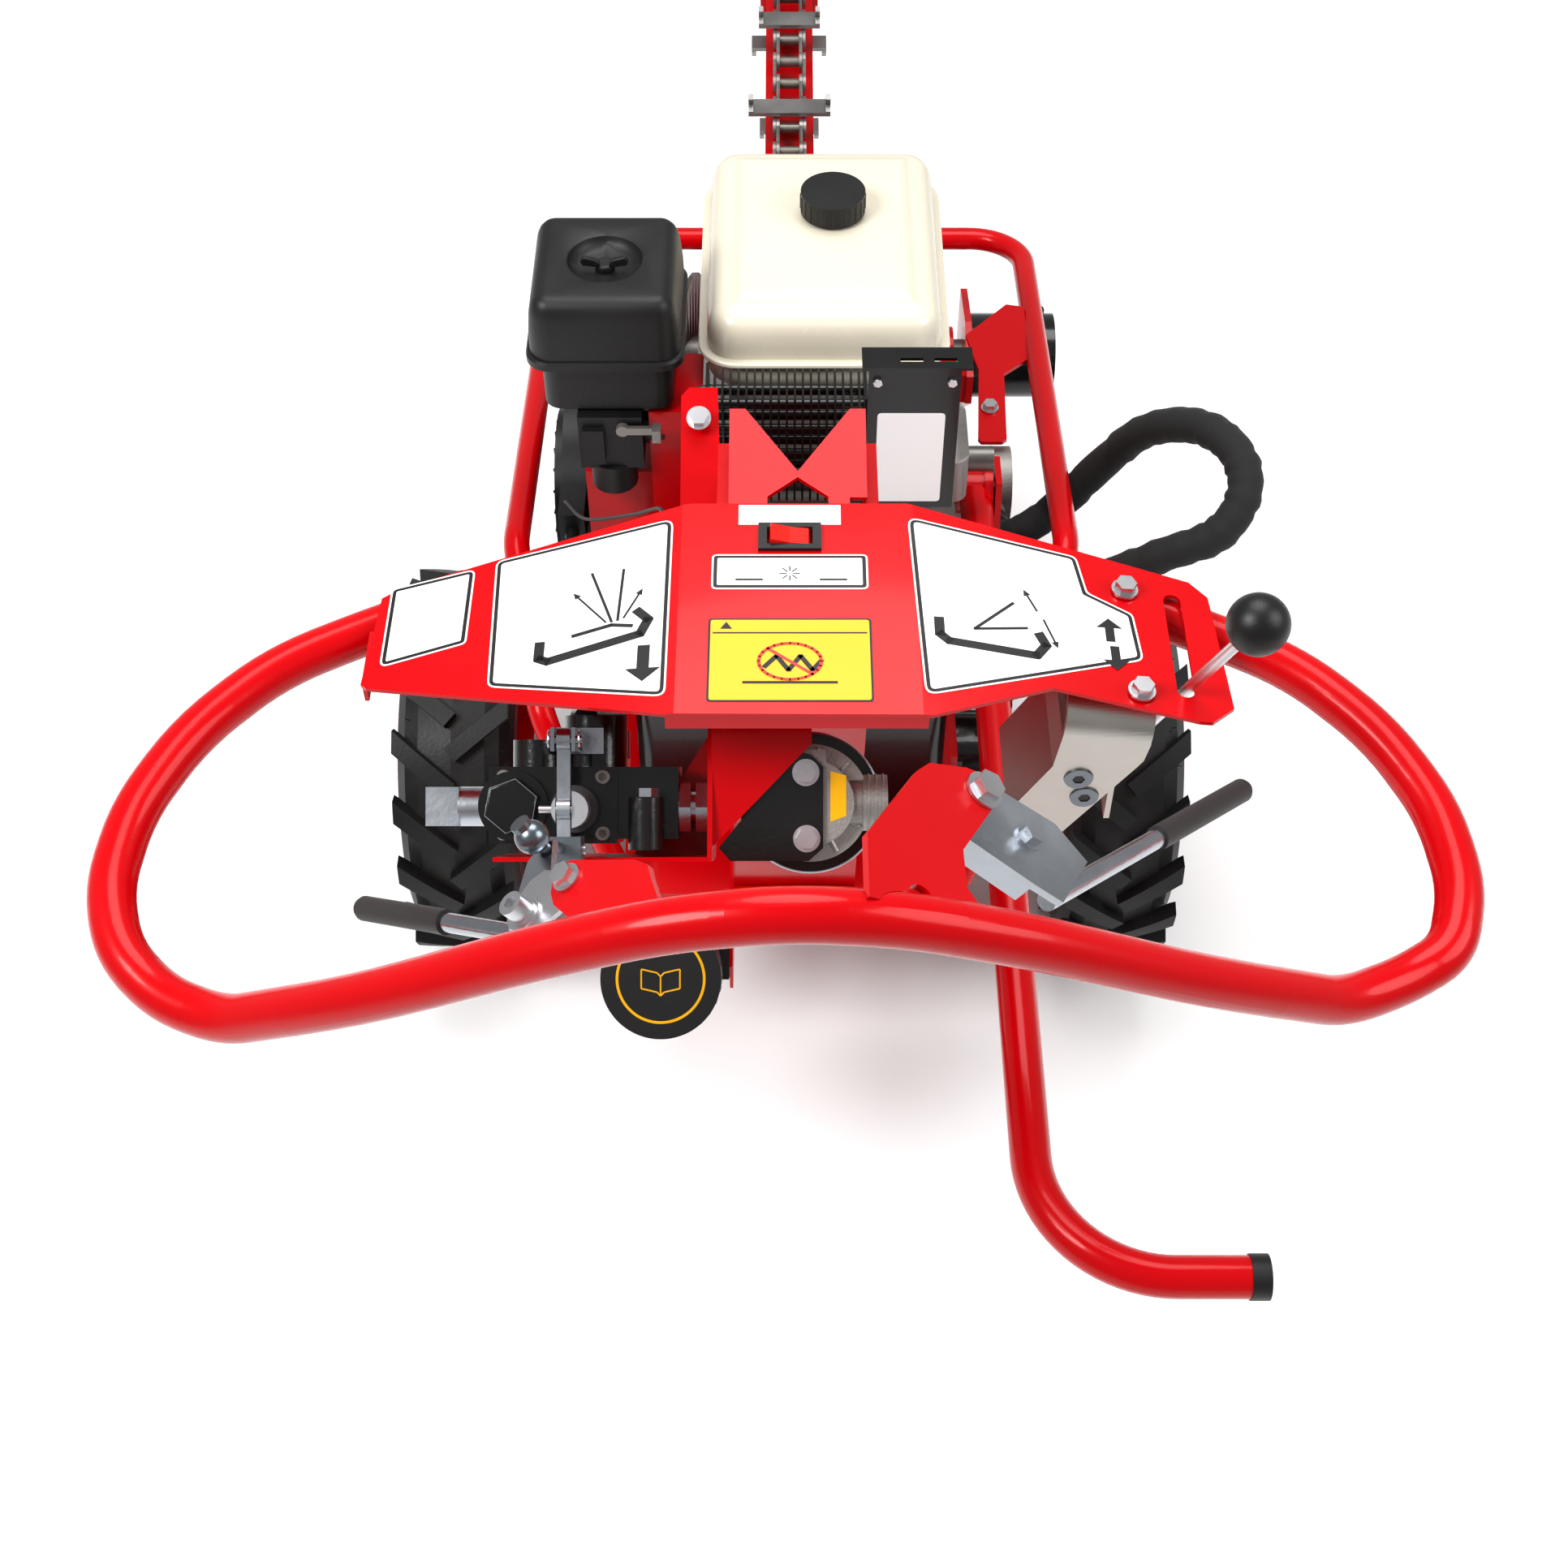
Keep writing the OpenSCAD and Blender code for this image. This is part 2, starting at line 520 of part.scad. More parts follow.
module fuel_tank() color([0.85, 0.82, 0.72]) at() {
  difference() {
    union() {
      translate([0, 0, 642]) linear_extrude(33) rrect([-80, 80], [142, 364], 28);
      translate([0, 0, 675]) linear_extrude(6) rrect([-88, 72], [150, 372], 34);
      translate([0, 0, 681]) linear_extrude(40) rrect([-80, 80], [142, 364], 28);
      translate([0, 0, 721]) linear_extrude(10) rrect([-68, 92], [130, 352], 22);
      translate([40, 240, 731]) cylinder(r = 24, h = 10);
    }
    translate([40, 240, 700]) cylinder(r = 18, h = 50);
  }
}
module fuel_cap() color(black) at() {
  difference() {
    translate([40, 240, 734]) cylinder(r = 31, h = 22);
    translate([40, 240, 733]) cylinder(r = 24.3, h = 12);
  }
}
module muffler() color(steel) at() {
  translate([0, 0, 588]) linear_extrude(48) rrect([72, -14], [165, 74], 14);
  box([80, 72, 596], [110, 84, 626]);
  xcyl(163, 190, 20, 612, 12);
}
module muffler_shield() color(black) at() {
  difference() {
    union() {
      box([68, -23, 590], [150, -20, 752]);
      box([62, -23, 752], [160, 6, 755]);
      box([69.3, -21, 590], [71.6, 7.5, 640]);
    }
    for (x = [96, 126]) box([x, -14, 750], [x + 20, -9, 758]);
  }
}
module oil_cooler() color(black) at() {
  for (k = [0 : 18]) box([-72 + k * 7.4, 12, 566], [-70 + k * 7.4, 56, 690]);
  for (z = [585, 615, 645, 675], y = [24, 44]) xcyl(-76, 66, y, z, 5);
  for (x = [-79, 66]) box([x, 8, 560], [x + 3, 60, 694]);
}
module side_rails() color(red) at() {
  pipe([[-165, -232, 292.4], [-237, -159, 446], [-270, 20, 502], [-270, 604, 437], [270, 604, 437],
    [270, 20, 502], [237, -159, 446], [165, -232, 292.4]], 12.7, bend = 60);
  translate([0, 0, 464]) linear_extrude(4)
    polygon([[193, 386], [241, 440], [260, 436], [262, 348], [231, 320], [227, 214], [222, 209], [200,
      209], [197, 214], [204, 327]]);
}
module hydraulic_motors() color(black) at() {
  for (s = [-1, 1]) scale([s, 1, 1]) {
    difference() {
      union() {
        xcyl(173.2, 235, 0, axle_z, 52);
        xcyl(120, 174, 0, axle_z, 38);
        box([173.3, -40, axle_z - 40], [181, 40, axle_z + 40]);
        translate([216, 0, axle_z + 40]) cylinder(r = 12, h = 30);
      }
      xcyl(130, 240, 0, axle_z, 16.05);
    }
  }
  difference() {
    union() {
      xcyl(215.3, 316, hy, hz, 50);
      translate([290, hy, hz + 40]) cylinder(r = 12, h = 28);
    }
    xcyl(200, 262, hy, hz, 19.05);
  }
}
module oil_tank() color(black) at() {
  translate([0, 0, 285.3]) linear_extrude(150) rrect([-150, -146], [150, -4], 16);
  translate([100, -74, 435]) cylinder(r = 26, h = 24);
}
module hydraulic_pump() color(black) at() {
  difference() {
    union() {
      xcyl(148.3, 184, ey, ez, 56);
      xcyl(183, 232, ey, ez, 40);
    }
    xcyl(140, 170, ey, ez, 30);
  }
  xcyl(162.3, 176, ey, ez, 22);
  translate([210, ey, ez]) rotate([90, 0, 0]) cylinder(r = 15, h = 50.5);
}
// smooth curve through points, with k steps between neighbours
function mid(a, b, c, d, t) = 0.5 * (2 * b + (c - a) * t + (2 * a - 5 * b + 4 * c - d) * t * t
  + (3 * b - a - 3 * c + d) * t * t * t);
function curve(p, k) = let (n = len(p) - 1) concat([for (i = [0 : n - 1], j = [0 : k - 1])
  mid(p[max(i - 1, 0)], p[i], p[i + 1], p[min(i + 2, n)], j / k)], [p[n]]);
// round cord: a ring at each point, square to the way it runs
module cord(q, r, sides) {
  n = len(q);
  dir = [for (i = [0 : n - 1]) unit(q[min(i + 1, n - 1)] - q[max(i - 1, 0)])];
  pts = [for (i = [0 : n - 1]) let (u = unit(cross(dir[i], [0.1, 0.35, 1])), v = cross(dir[i], u))
    for (k = [0 : sides - 1]) q[i] + r * (cos(k * 360 / sides) * u + sin(k * 360 / sides) * v)];
  polyhedron(pts, concat([[for (k = [0 : sides - 1]) k]],
    [for (i = [0 : n - 2], k = [0 : sides - 1]) let (a = i * sides, m = (k + 1) % sides)
      each [[a + k, a + sides + k, a + m], [a + m, a + sides + k, a + sides + m]]],
    [[for (k = [sides - 1 : -1 : 0]) (n - 1) * sides + k]]));
}
hose = [[210, 147.3, 417], [211, 120, 419], [232, 112, 428], [272, 130, 446], [318, 140, 500],
  [352, 120, 560], [392, 80, 600], [420, 34, 610], [426, -8, 596], [402, -34, 566],
  [350, -30, 532], [294, -12, 476], [250, 2, 410], [223, 1, 340], [216, 0, 300], [216, 0, 274.8]];
wire = [[-222, 57, 522], [-216, 20, 556], [-190, -50, 600], [-140, -130, 680],
  [-108, -230, 780], [-100, -330, 858]];
module hose_sleeve() color(black) at() cord(curve(hose, 2), 17, 12);
module ignition_wire() color(black) at() cord(curve(wire, 5), 1.6, 8);

// lift
ly = 60;
lz = 535;
module lift_lever() color(red) at() {
  translate([180, -689, 540]) rotate([-90, 0, 0]) cylinder(r = tr, h = 689 + ly - 14);
  translate([280, -689, 540]) rotate([0, 0, 180]) rotate_extrude(angle = 90) translate([100, 0]) circle(tr);
  translate([280, -789, 540]) rotate([0, 90, 0]) cylinder(r = tr, h = 62);
  difference() {
    union() {
      xcyl(162, 196, ly, lz, 23);
      crank_plate();
    }
    xcyl(150, 210, ly, lz, 12.55);
  }
  xcyl(172, 196, ly + 35.2, lz - 222.2, 7);
}
module crank_plate() {
  yz(8, 188) {
    translate([ly, lz]) circle(26);
    translate([ly + 35.2, lz - 222.2]) circle(16);
    polygon([[ly - 25.6, lz - 4], [ly + 25.6, lz + 4], [ly + 51.1, lz - 219.6], [ly + 19.3, lz - 224.8]]);
  }
}
module lift_lever_cap() color(black) at() difference() {
  xcyl(332, 346, -789, 540, tr + 1.2);
  xcyl(330, 342.1, -789, 540, tr);
}
bp = [hy + 34.05, hz - 66.8];
lp = [ly + 35.2, lz - 222.2];
module lift_link() color(steel) at() {
  a = atan2(bp[1] - lp[1], bp[0] - lp[0]);
  d = norm(bp - lp);
  difference() {
    translate([0, lp[0], lp[1]]) rotate([a, 0, 0]) yz(9, 176) {
      circle(14);
      translate([0, -10]) square([d, 20]);
      translate([d, -3]) circle(18);
    }
    xcyl(170, 190, lp[0], lp[1], 7.05);
    // slot that takes up the arc of the boom's arm
    for (z = [0, -5.4]) xcyl(170, 190, bp[0] + 1, bp[1] + z, 8.7);
    box([170, bp[0] - 7.7, bp[1] - 5.4], [190, bp[0] + 9.7, bp[1]]);
  }
}

// boom, chain and head shaft
module boom() color(red) at() {
  difference() {
    on_boom() {
      for (x = [-39, 31]) yz(8, x) {
        circle(33);
        translate([0, -28]) square([180, 56]);
      }
      difference() {
        box([-31, 88, -30], [31, boom_l - 62, 30]);
        box([-26, 80, -25], [26, boom_l - 70, 25]);
      }
      for (x = [-39, 31]) yz(8, x) {
        translate([boom_l - 120, -24]) square([120, 48]);
        translate([boom_l, 0]) circle(24);
      }
      xcyl(-31, 31, boom_l, 0, 12);
      xcyl(38, 188.5, 0, 0, 30);
    }
    xcyl(-60, 200, hy, hz, 19.05);
  }
  yz(8, 188) difference() {
    union() {
      translate([hy, hz]) circle(34);
      translate(bp) circle(15);
      polygon([[hy - 30.3, hz - 15.5], [hy + 30.3, hz - 2], [bp[0] + 13.4, bp[1] + 6.8], [bp[0] - 13.4,
        bp[1] - 6.8]]);
    }
    translate([hy, hz]) circle(19.05);
  }
  xcyl(174, 189, bp[0], bp[1], 7);
}
module nose_roller() color(steel) at() on_boom() difference() {
  union() {
    xcyl(-11, 11, boom_l, 0, cr - 6.6);
    xcyl(-30.5, 30.5, boom_l, 0, 22);
  }
  xcyl(-40, 40, boom_l, 0, 12.05);
}
module link_plate(x, h) { yz(4, x) difference() {
    union() { circle(12); translate([pitch, 0]) circle(12); translate([0, -10]) square([pitch, 20]); }
    if (h) for (y = [0, pitch]) translate([y, 0]) circle(5.1);
  }
}
module digging_chain() color(steel) at() on_boom() for (i = [0 : links - 1]) at_link(i) {
  if (i % 2 == 0) {
    for (x = [-21, 17]) link_plate(x, false);
    for (y = [0, pitch]) xcyl(-21, 21, y, 0, 5);
  } else {
    for (x = [-16.5, 12.5]) link_plate(x, true);
    for (y = [0, pitch]) difference() { xcyl(-13, 13, y, 0, 6.5); xcyl(-14, 14, y, 0, 5.1); }
  }
}
module chain_cutters() color(steel) at() on_boom() for (i = [0 : 4 : links - 1]) at_link(i) {
  w = i % 8 == 0 ? 52 : 40;
  box([-w, 8, 12.2], [w, 34, 18]);
  for (s = [-1, 1]) yz(6, s > 0 ? w - 6 : -w)
    polygon([[8, 12.2], [34, 12.2], [34, 20], [20, 38], [12, 36], [16, 24], [8, 20]]);
}
module head_shaft() color(steel) at() {
  xcyl(-276, 258, hy, hz, 19);
  difference() {
    union() {
      xcyl(-11, 11, hy, hz, 40);
      translate([0, hy, hz]) for (k = [0 : teeth - 1]) rotate([k * 45 + 22.5 + boom_rest, 0, 0])
        yz(20, -10) polygon([[30, -12], [47.6, -7], [47.6, 7], [30, 12]]);
      xcyl(-30, 30, hy, hz, 26);
    }
    xcyl(-31, 31, hy, hz, 18.9);
  }
}
module auger() color(steel) at() {
  steps = 60;
  turns = 2;
  pit = 85;
  pts = [for (i = [0 : steps]) let (a = i * 360 * turns / steps, x = -98 - i * pit * turns / steps)
    each [[x, hy + 20 * cos(a), hz + 20 * sin(a)], [x, hy + 98 * cos(a), hz + 98 * sin(a)],
      [x - 5, hy + 98 * cos(a), hz + 98 * sin(a)], [x - 5, hy + 20 * cos(a), hz + 20 * sin(a)]]];
  faces = concat([[0, 1, 2, 3]], [for (i = [0 : steps - 1]) for (k = [0 : 3]) let (a = i * 4 + k,
    b = i * 4 + (k + 1) % 4)
    each [[a, a + 4, b], [b, a + 4, b + 4]]], [[steps * 4 + 3, steps * 4 + 2, steps * 4 + 1, steps * 4]]);
  polyhedron(pts, faces);
  difference() { xcyl(-274, -92, hy, hz, 24); xcyl(-280, -90, hy, hz, 19); }
}

// wheels
module tyre() {
  r = tyre_d / 2;
  h = tyre_w / 2;
  rotate([0, 90, 0]) rotate_extrude()
    polygon([[103, -45.6], [112.6, -47.6], [113.6, -h + 4], [130, -h + 1], [150, -h], [170, -h + 3],
      [184, -h + 12], [190, -h + 26], [192, 0], [190, h - 26], [184, h - 12], [170, h - 3], [150, h],
      [130, h - 1], [113.6, h - 4], [112.6, 47.6], [103, 45.6]]);
  intersection() {
    rotate([0, 90, 0]) difference() { cylinder(r = r, h = tyre_w - 4, center = true); cylinder(r = 188,
      h = tyre_w, center = true); }
    for (k = [0 : 17], s = [-1, 1]) rotate([k * 20 + (s > 0 ? 10 : 0), 0, 0])
      translate([0, 0, 192]) rotate([0, 0, s * 40]) translate([s * 42, 0, 0]) cube([84, 17, 24],
        center = true);
  }
}
module rim(s) {
  difference() {
    rotate([0, 90, 0]) rotate_extrude() polygon([[97, -52], [112, -52], [112, -48], [102.9, -46], [102.9,
      46], [112, 48], [112, 52], [97, 52]]);
  }
  xcyl(s > 0 ? -20 : 14, s > 0 ? -14 : 20, 0, 0, 98);
  xcyl(s > 0 ? -66 : 14, s > 0 ? -14 : 66, 0, 0, 48);
  xcyl(s > 0 ? -tyre_w - 60 : 60, s > 0 ? -60 : tyre_w + 60, 0, 0, 16);
  for (a = [0 : 72 : 359]) rotate([a, 0, 0]) xcyl(s > 0 ? -15 : 4, s > 0 ? -4 : 15, 34, 0, 9);
}
module left_tyre() color(black) at() translate([-half_track, 0, axle_z]) mirror([1, 0, 0]) tyre();
module right_tyre() color(black) at() translate([half_track, 0, axle_z]) tyre();
module left_rim() color(red) at() translate([-half_track, 0, axle_z]) rim(-1);
module right_rim() color(red) at() translate([half_track, 0, axle_z]) rim(1);
module small_wheel() difference() {
  union() {
    rotate([0, 90, 0]) rotate_extrude()
      polygon([[62, -24], [88, -24], [97, -18], [100, -8], [100, 8], [97, 18], [88, 24], [62, 24]]);
    xcyl(-5, 5, 0, 0, 64);
    xcyl(-24, 24, 0, 0, 26);
  }
  xcyl(-30, 30, 0, 0, 14.05);
}
module left_front_wheel() color(black) at() translate([-218, 430, 100]) small_wheel();
module right_front_wheel() color(black) at() translate([218, 430, 100]) small_wheel();

chassis_frame();
mast();
console_bracket();
control_panel();
handlebar();
lever_brackets();
fasteners();
switch_bezel();
chain_valve();
valve_fittings();
filter_head();
filter_canister();
filter_plate();
direction_bracket();
drive_valve();
manual_tube();
engine_block();
cooling_shroud();
recoil_housing();
air_cleaner();
carburettor();
fuel_tank();
muffler();
muffler_shield();
oil_cooler();
side_rails();
hydraulic_motors();
oil_tank();
hydraulic_pump();
hose_sleeve();
ignition_wire();
ignition_rocker();
valve_spool();
valve_bar();
chain_lever();
chain_lever_grip();
chain_pull_rod();
drive_lever();
drive_lever_grip();
direction_lever();
direction_knob();
manual_tube_lid();
choke_lever();
fuel_cap();
starter_grip();
lift_lever();
lift_lever_cap();
lift_link();
boom();
digging_chain();
chain_cutters();
nose_roller();
head_shaft();
auger();
left_tyre();
left_rim();
right_tyre();
right_rim();
left_front_wheel();
right_front_wheel();
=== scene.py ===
import math
import random

import bmesh
import bpy
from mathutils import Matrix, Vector


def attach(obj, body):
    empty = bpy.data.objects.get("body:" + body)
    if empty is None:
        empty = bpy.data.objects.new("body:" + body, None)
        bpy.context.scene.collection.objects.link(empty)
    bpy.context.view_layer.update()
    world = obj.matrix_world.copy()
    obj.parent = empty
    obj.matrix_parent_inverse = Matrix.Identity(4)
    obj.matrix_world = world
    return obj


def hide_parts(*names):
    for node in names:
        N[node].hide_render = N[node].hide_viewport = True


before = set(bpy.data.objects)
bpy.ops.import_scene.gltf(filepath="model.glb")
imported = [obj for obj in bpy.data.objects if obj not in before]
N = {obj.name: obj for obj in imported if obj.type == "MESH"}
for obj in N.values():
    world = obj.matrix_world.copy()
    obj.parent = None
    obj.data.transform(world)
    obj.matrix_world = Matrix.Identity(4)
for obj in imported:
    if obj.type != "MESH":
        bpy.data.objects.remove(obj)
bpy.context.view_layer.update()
XO, YO = 0.006, -0.270956          # the row frame is the design plus this
RAD = math.radians
LEAN = RAD(40)                     # the console and the manual tube lean back this far
COS_LEAN, SIN_LEAN = math.cos(LEAN), math.sin(LEAN)
CONSOLE = (0, -570, 838)           # origins of the leaning parts, and the axles, in design mm
MANUAL_TUBE = (-109, -500, 504)
HALF_TRACK, AXLE_HEIGHT = 338, 203
LIGHT_TARGET = (0, -0.2, 0.6)
MIX_A, MIX_B, MIX_RESULT = 6, 7, 2                     # colour sockets of a Mix node
FROM_MIN, FROM_MAX, TO_MIN, TO_MAX = 1, 2, 3, 4        # sockets of a Map Range node
EDGE_ANGLE = RAD(35)               # edges sharper than this are bevelled or stay sharp
CORNER_POINTS = 9


def P(x, y, z):
    """Design millimetres to row-frame metres."""
    return Vector((x / 1000 + XO, y / 1000 + YO, z / 1000))


def leaning(origin, x, y, z):
    """Millimetres in a part that leans towards the operator to row-frame metres."""
    ox, oy, oz = origin
    return P(ox + x, oy + y * COS_LEAN - z * SIN_LEAN, oz + y * SIN_LEAN + z * COS_LEAN)


def con(x, y, z):
    return leaning(CONSOLE, x, y, z)


def lid(x, y, z):
    return leaning(MANUAL_TUBE, x, y, z)


# ------------------------------------------------------------------ camera, light, floor
def camera():
    cam = bpy.data.objects.new("camera", bpy.data.cameras.new("camera"))
    cam.data.lens = 50
    cam.data.sensor_width = 36
    cam.location = P(-7, -1534, 1987)
    cam.rotation_euler = (RAD(40), 0, 0)
    bpy.context.collection.objects.link(cam)
    bpy.context.scene.camera = cam


def area(name, loc, size, power):
    lamp = bpy.data.lights.new(name, "AREA")
    lamp.shape = "DISK"
    lamp.size = size
    lamp.energy = power
    ob = bpy.data.objects.new(name, lamp)
    ob.location = loc
    ob.rotation_euler = (Vector(LIGHT_TARGET) - Vector(loc)).to_track_quat("-Z", "Y").to_euler()
    bpy.context.collection.objects.link(ob)


def studio():
    world = bpy.data.worlds.new("studio")
    bpy.context.scene.world = world
    world.use_nodes = True
    bg = world.node_tree.nodes["Background"]
    bg.inputs[0].default_value = (1, 1, 1, 1)
    bg.inputs[1].default_value = 0.42
    area("key", (-1.9, -1.6, 3.2), 1.4, 105)
    area("fill", (2.2, -1.2, 2.6), 1.8, 48)
    area("top", (0.1, 0.6, 3.6), 2.2, 80)
    bpy.ops.mesh.primitive_plane_add(size=24, location=(0, 0, 0))
    floor = bpy.context.object
    floor.name = "floor"
    floor.data.materials.append(material("floor_pale", (0.93, 0.93, 0.93), rough=0.85))
    bpy.context.scene.view_settings.view_transform = "Standard"


# ------------------------------------------------------------------ materials
def material(name, col, rough=0.5, metal=0.0, coat=0.0, vary=0.0, bump=0.0, scale=200.0,
             rough_vary=0.0, wear=0.0, dust=0.0, brushed=None, sheen=0.0, spec=0.5, tint=None):
    """One procedural finish: mottled colour and roughness, a fine bump, edge wear and dust in the hollows."""
    m = bpy.data.materials.new(name)
    m.use_nodes = True
    nt = m.node_tree
    nodes, links = nt.nodes, nt.links
    b = nodes["Principled BSDF"]
    b.inputs["Base Color"].default_value = (*col, 1)
    b.inputs["Roughness"].default_value = rough
    b.inputs["Metallic"].default_value = metal
    b.inputs["Coat Weight"].default_value = coat
    b.inputs["Coat Roughness"].default_value = 0.06
    b.inputs["Sheen Weight"].default_value = sheen
    b.inputs["Specular IOR Level"].default_value = spec
    if tint:
        b.inputs["Specular Tint"].default_value = (*tint, 1)
    tc = nodes.new("ShaderNodeTexCoord")
    mp = nodes.new("ShaderNodeMapping")
    links.new(tc.outputs["Object"], mp.inputs["Vector"])
    if brushed:
        mp.inputs["Scale"].default_value = brushed
    noise = nodes.new("ShaderNodeTexNoise")
    noise.inputs["Scale"].default_value = scale
    noise.inputs["Detail"].default_value = 3
    links.new(mp.outputs["Vector"], noise.inputs["Vector"])
    big = nodes.new("ShaderNodeTexNoise")
    big.inputs["Scale"].default_value = 9
    big.inputs["Detail"].default_value = 5
    links.new(tc.outputs["Object"], big.inputs["Vector"])

    def mix(first, second, factor):
        """first and second are colours or sockets; factor is a socket."""
        mx = nodes.new("ShaderNodeMix")
        mx.data_type = "RGBA"
        for sock, v in ((mx.inputs[MIX_A], first), (mx.inputs[MIX_B], second)):
            if isinstance(v, tuple):
                sock.default_value = (*v, 1)
            else:
                links.new(v, sock)
        links.new(factor, mx.inputs[0])
        return mx.outputs[MIX_RESULT]

    def ramp(src, lo, hi, a=0.0, z=1.0):
        mr = nodes.new("ShaderNodeMapRange")
        for i, v in ((FROM_MIN, lo), (FROM_MAX, hi), (TO_MIN, a), (TO_MAX, z)):
            mr.inputs[i].default_value = v
        links.new(src, mr.inputs[0])
        return mr.outputs[0]

    colour = tuple(col)
    if vary:
        dark = tuple(c * (1 - vary) for c in col)
        light = tuple(min(1, c * (1 + 0.6 * vary) + 0.01 * vary) for c in col)
        colour = mix(dark, light, ramp(big.outputs["Fac"], 0.3, 0.7))
    if wear:
        geo = nodes.new("ShaderNodeNewGeometry")
        edge = ramp(geo.outputs["Pointiness"], 0.53, 0.60, 0.0, wear)
        bare = tuple(0.5 * c + 0.28 for c in col)
        colour = mix(colour, bare, edge)
    if dust:
        geo = nodes.new("ShaderNodeNewGeometry")
        low = ramp(geo.outputs["Pointiness"], 0.49, 0.42, 0.0, dust)
        colour = mix(colour, (0.16, 0.13, 0.1), low)
    if not isinstance(colour, tuple):
        links.new(colour, b.inputs["Base Color"])
    if rough_vary:
        gloss = ramp(big.outputs["Fac"], 0.3, 0.7, rough - rough_vary, rough + rough_vary)
        links.new(gloss, b.inputs["Roughness"])
    if bump:
        bp = nodes.new("ShaderNodeBump")
        bp.inputs["Strength"].default_value = bump
        bp.inputs["Distance"].default_value = 0.0006
        links.new(noise.outputs["Fac"], bp.inputs["Height"])
        links.new(bp.outputs["Normal"], b.inputs["Normal"])
    return m


def finishes():
    red_tint = (1.0, 0.3, 0.3)
    return {
        "red": material("red_paint", (0.47, 0.0, 0.002), 0.24, coat=0.12, spec=0.3, tint=red_tint, vary=0.03,
                        bump=0.05, scale=420, rough_vary=0.04),
        "black": material("black_gloss_paint", (0.003, 0.003, 0.003), 0.2, coat=0.15, spec=0.3, vary=0.2,
                          bump=0.12, scale=160, rough_vary=0.06),
        "cast_black": material("black_cast_paint", (0.003, 0.003, 0.003), 0.2, coat=0.2, spec=0.3, vary=0.3,
                               bump=0.3, scale=230, rough_vary=0.06),
        "plastic": material("black_moulded_plastic", (0.005, 0.005, 0.005), 0.42, spec=0.3, vary=0.2,
                            bump=0.25, scale=1400, rough_vary=0.06),
        "grip": material("black_grip_rubber", (0.018, 0.015, 0.015), 0.55, spec=0.35, vary=0.2, bump=0.35,
                         scale=1100, rough_vary=0.05),
        "cream": material("cream_paint", (0.64, 0.59, 0.47), 0.26, coat=0.25, vary=0.03, bump=0.05, scale=350,
                          rough_vary=0.04),
        "zinc": material("zinc_plate", (0.43, 0.46, 0.5), 0.28, metal=1.0, vary=0.25, bump=0.3, scale=160,
                         rough_vary=0.12, wear=0.15),
        "bright": material("bright_plate", (0.6, 0.6, 0.62), 0.3, metal=1.0, vary=0.12, bump=0.08, scale=300,
                           rough_vary=0.06),
        "cast": material("cast_alloy", (0.3, 0.285, 0.265), 0.5, metal=0.85, vary=0.16, bump=0.6, scale=420,
                         rough_vary=0.08, dust=0.4),
        "alu": material("brushed_aluminium", (0.46, 0.445, 0.41), 0.33, metal=1.0, vary=0.12, bump=0.25,
                        scale=60, rough_vary=0.1, brushed=(1, 14, 14)),
        "steel": material("dark_steel", (0.16, 0.15, 0.14), 0.45, metal=0.9, vary=0.3, bump=0.4, scale=140,
                          rough_vary=0.15, wear=0.4, dust=0.5),
        "tyre": material("tyre_rubber", (0.005, 0.0045, 0.0045), 0.5, spec=0.25, vary=0.35, bump=0.35,
                         scale=260, rough_vary=0.1, dust=0.06),
        "sleeve": material("woven_sleeve", (0.004, 0.004, 0.004), 0.75, spec=0.3, vary=0.3, bump=0.9,
                           scale=900, rough_vary=0.05, sheen=0.05),
        "white": material("label_white", (0.82, 0.82, 0.82), 0.35, vary=0.02, bump=0.04, scale=500),
        "ink": material("label_black", (0.004, 0.004, 0.004), 0.4, spec=0.3, vary=0.1, bump=0.05, scale=500),
        "yellow": material("label_yellow", (0.8, 0.4, 0.0), 0.35, spec=0.3, vary=0.03, bump=0.04, scale=500),
        "stripe": material("tyre_stripe_red", (0.16, 0.015, 0.012), 0.6, spec=0.25, vary=0.2, bump=0.2,
                           scale=400),
        "switch": material("switch_red", (0.62, 0.01, 0.005), 0.25, coat=0.2, spec=0.3, tint=red_tint,
                           vary=0.04, bump=0.05, scale=600),
        "screw": material("dark_zinc", (0.16, 0.19, 0.21), 0.3, metal=1.0, vary=0.2, bump=0.2, scale=300,
                          rough_vary=0.06),
    }


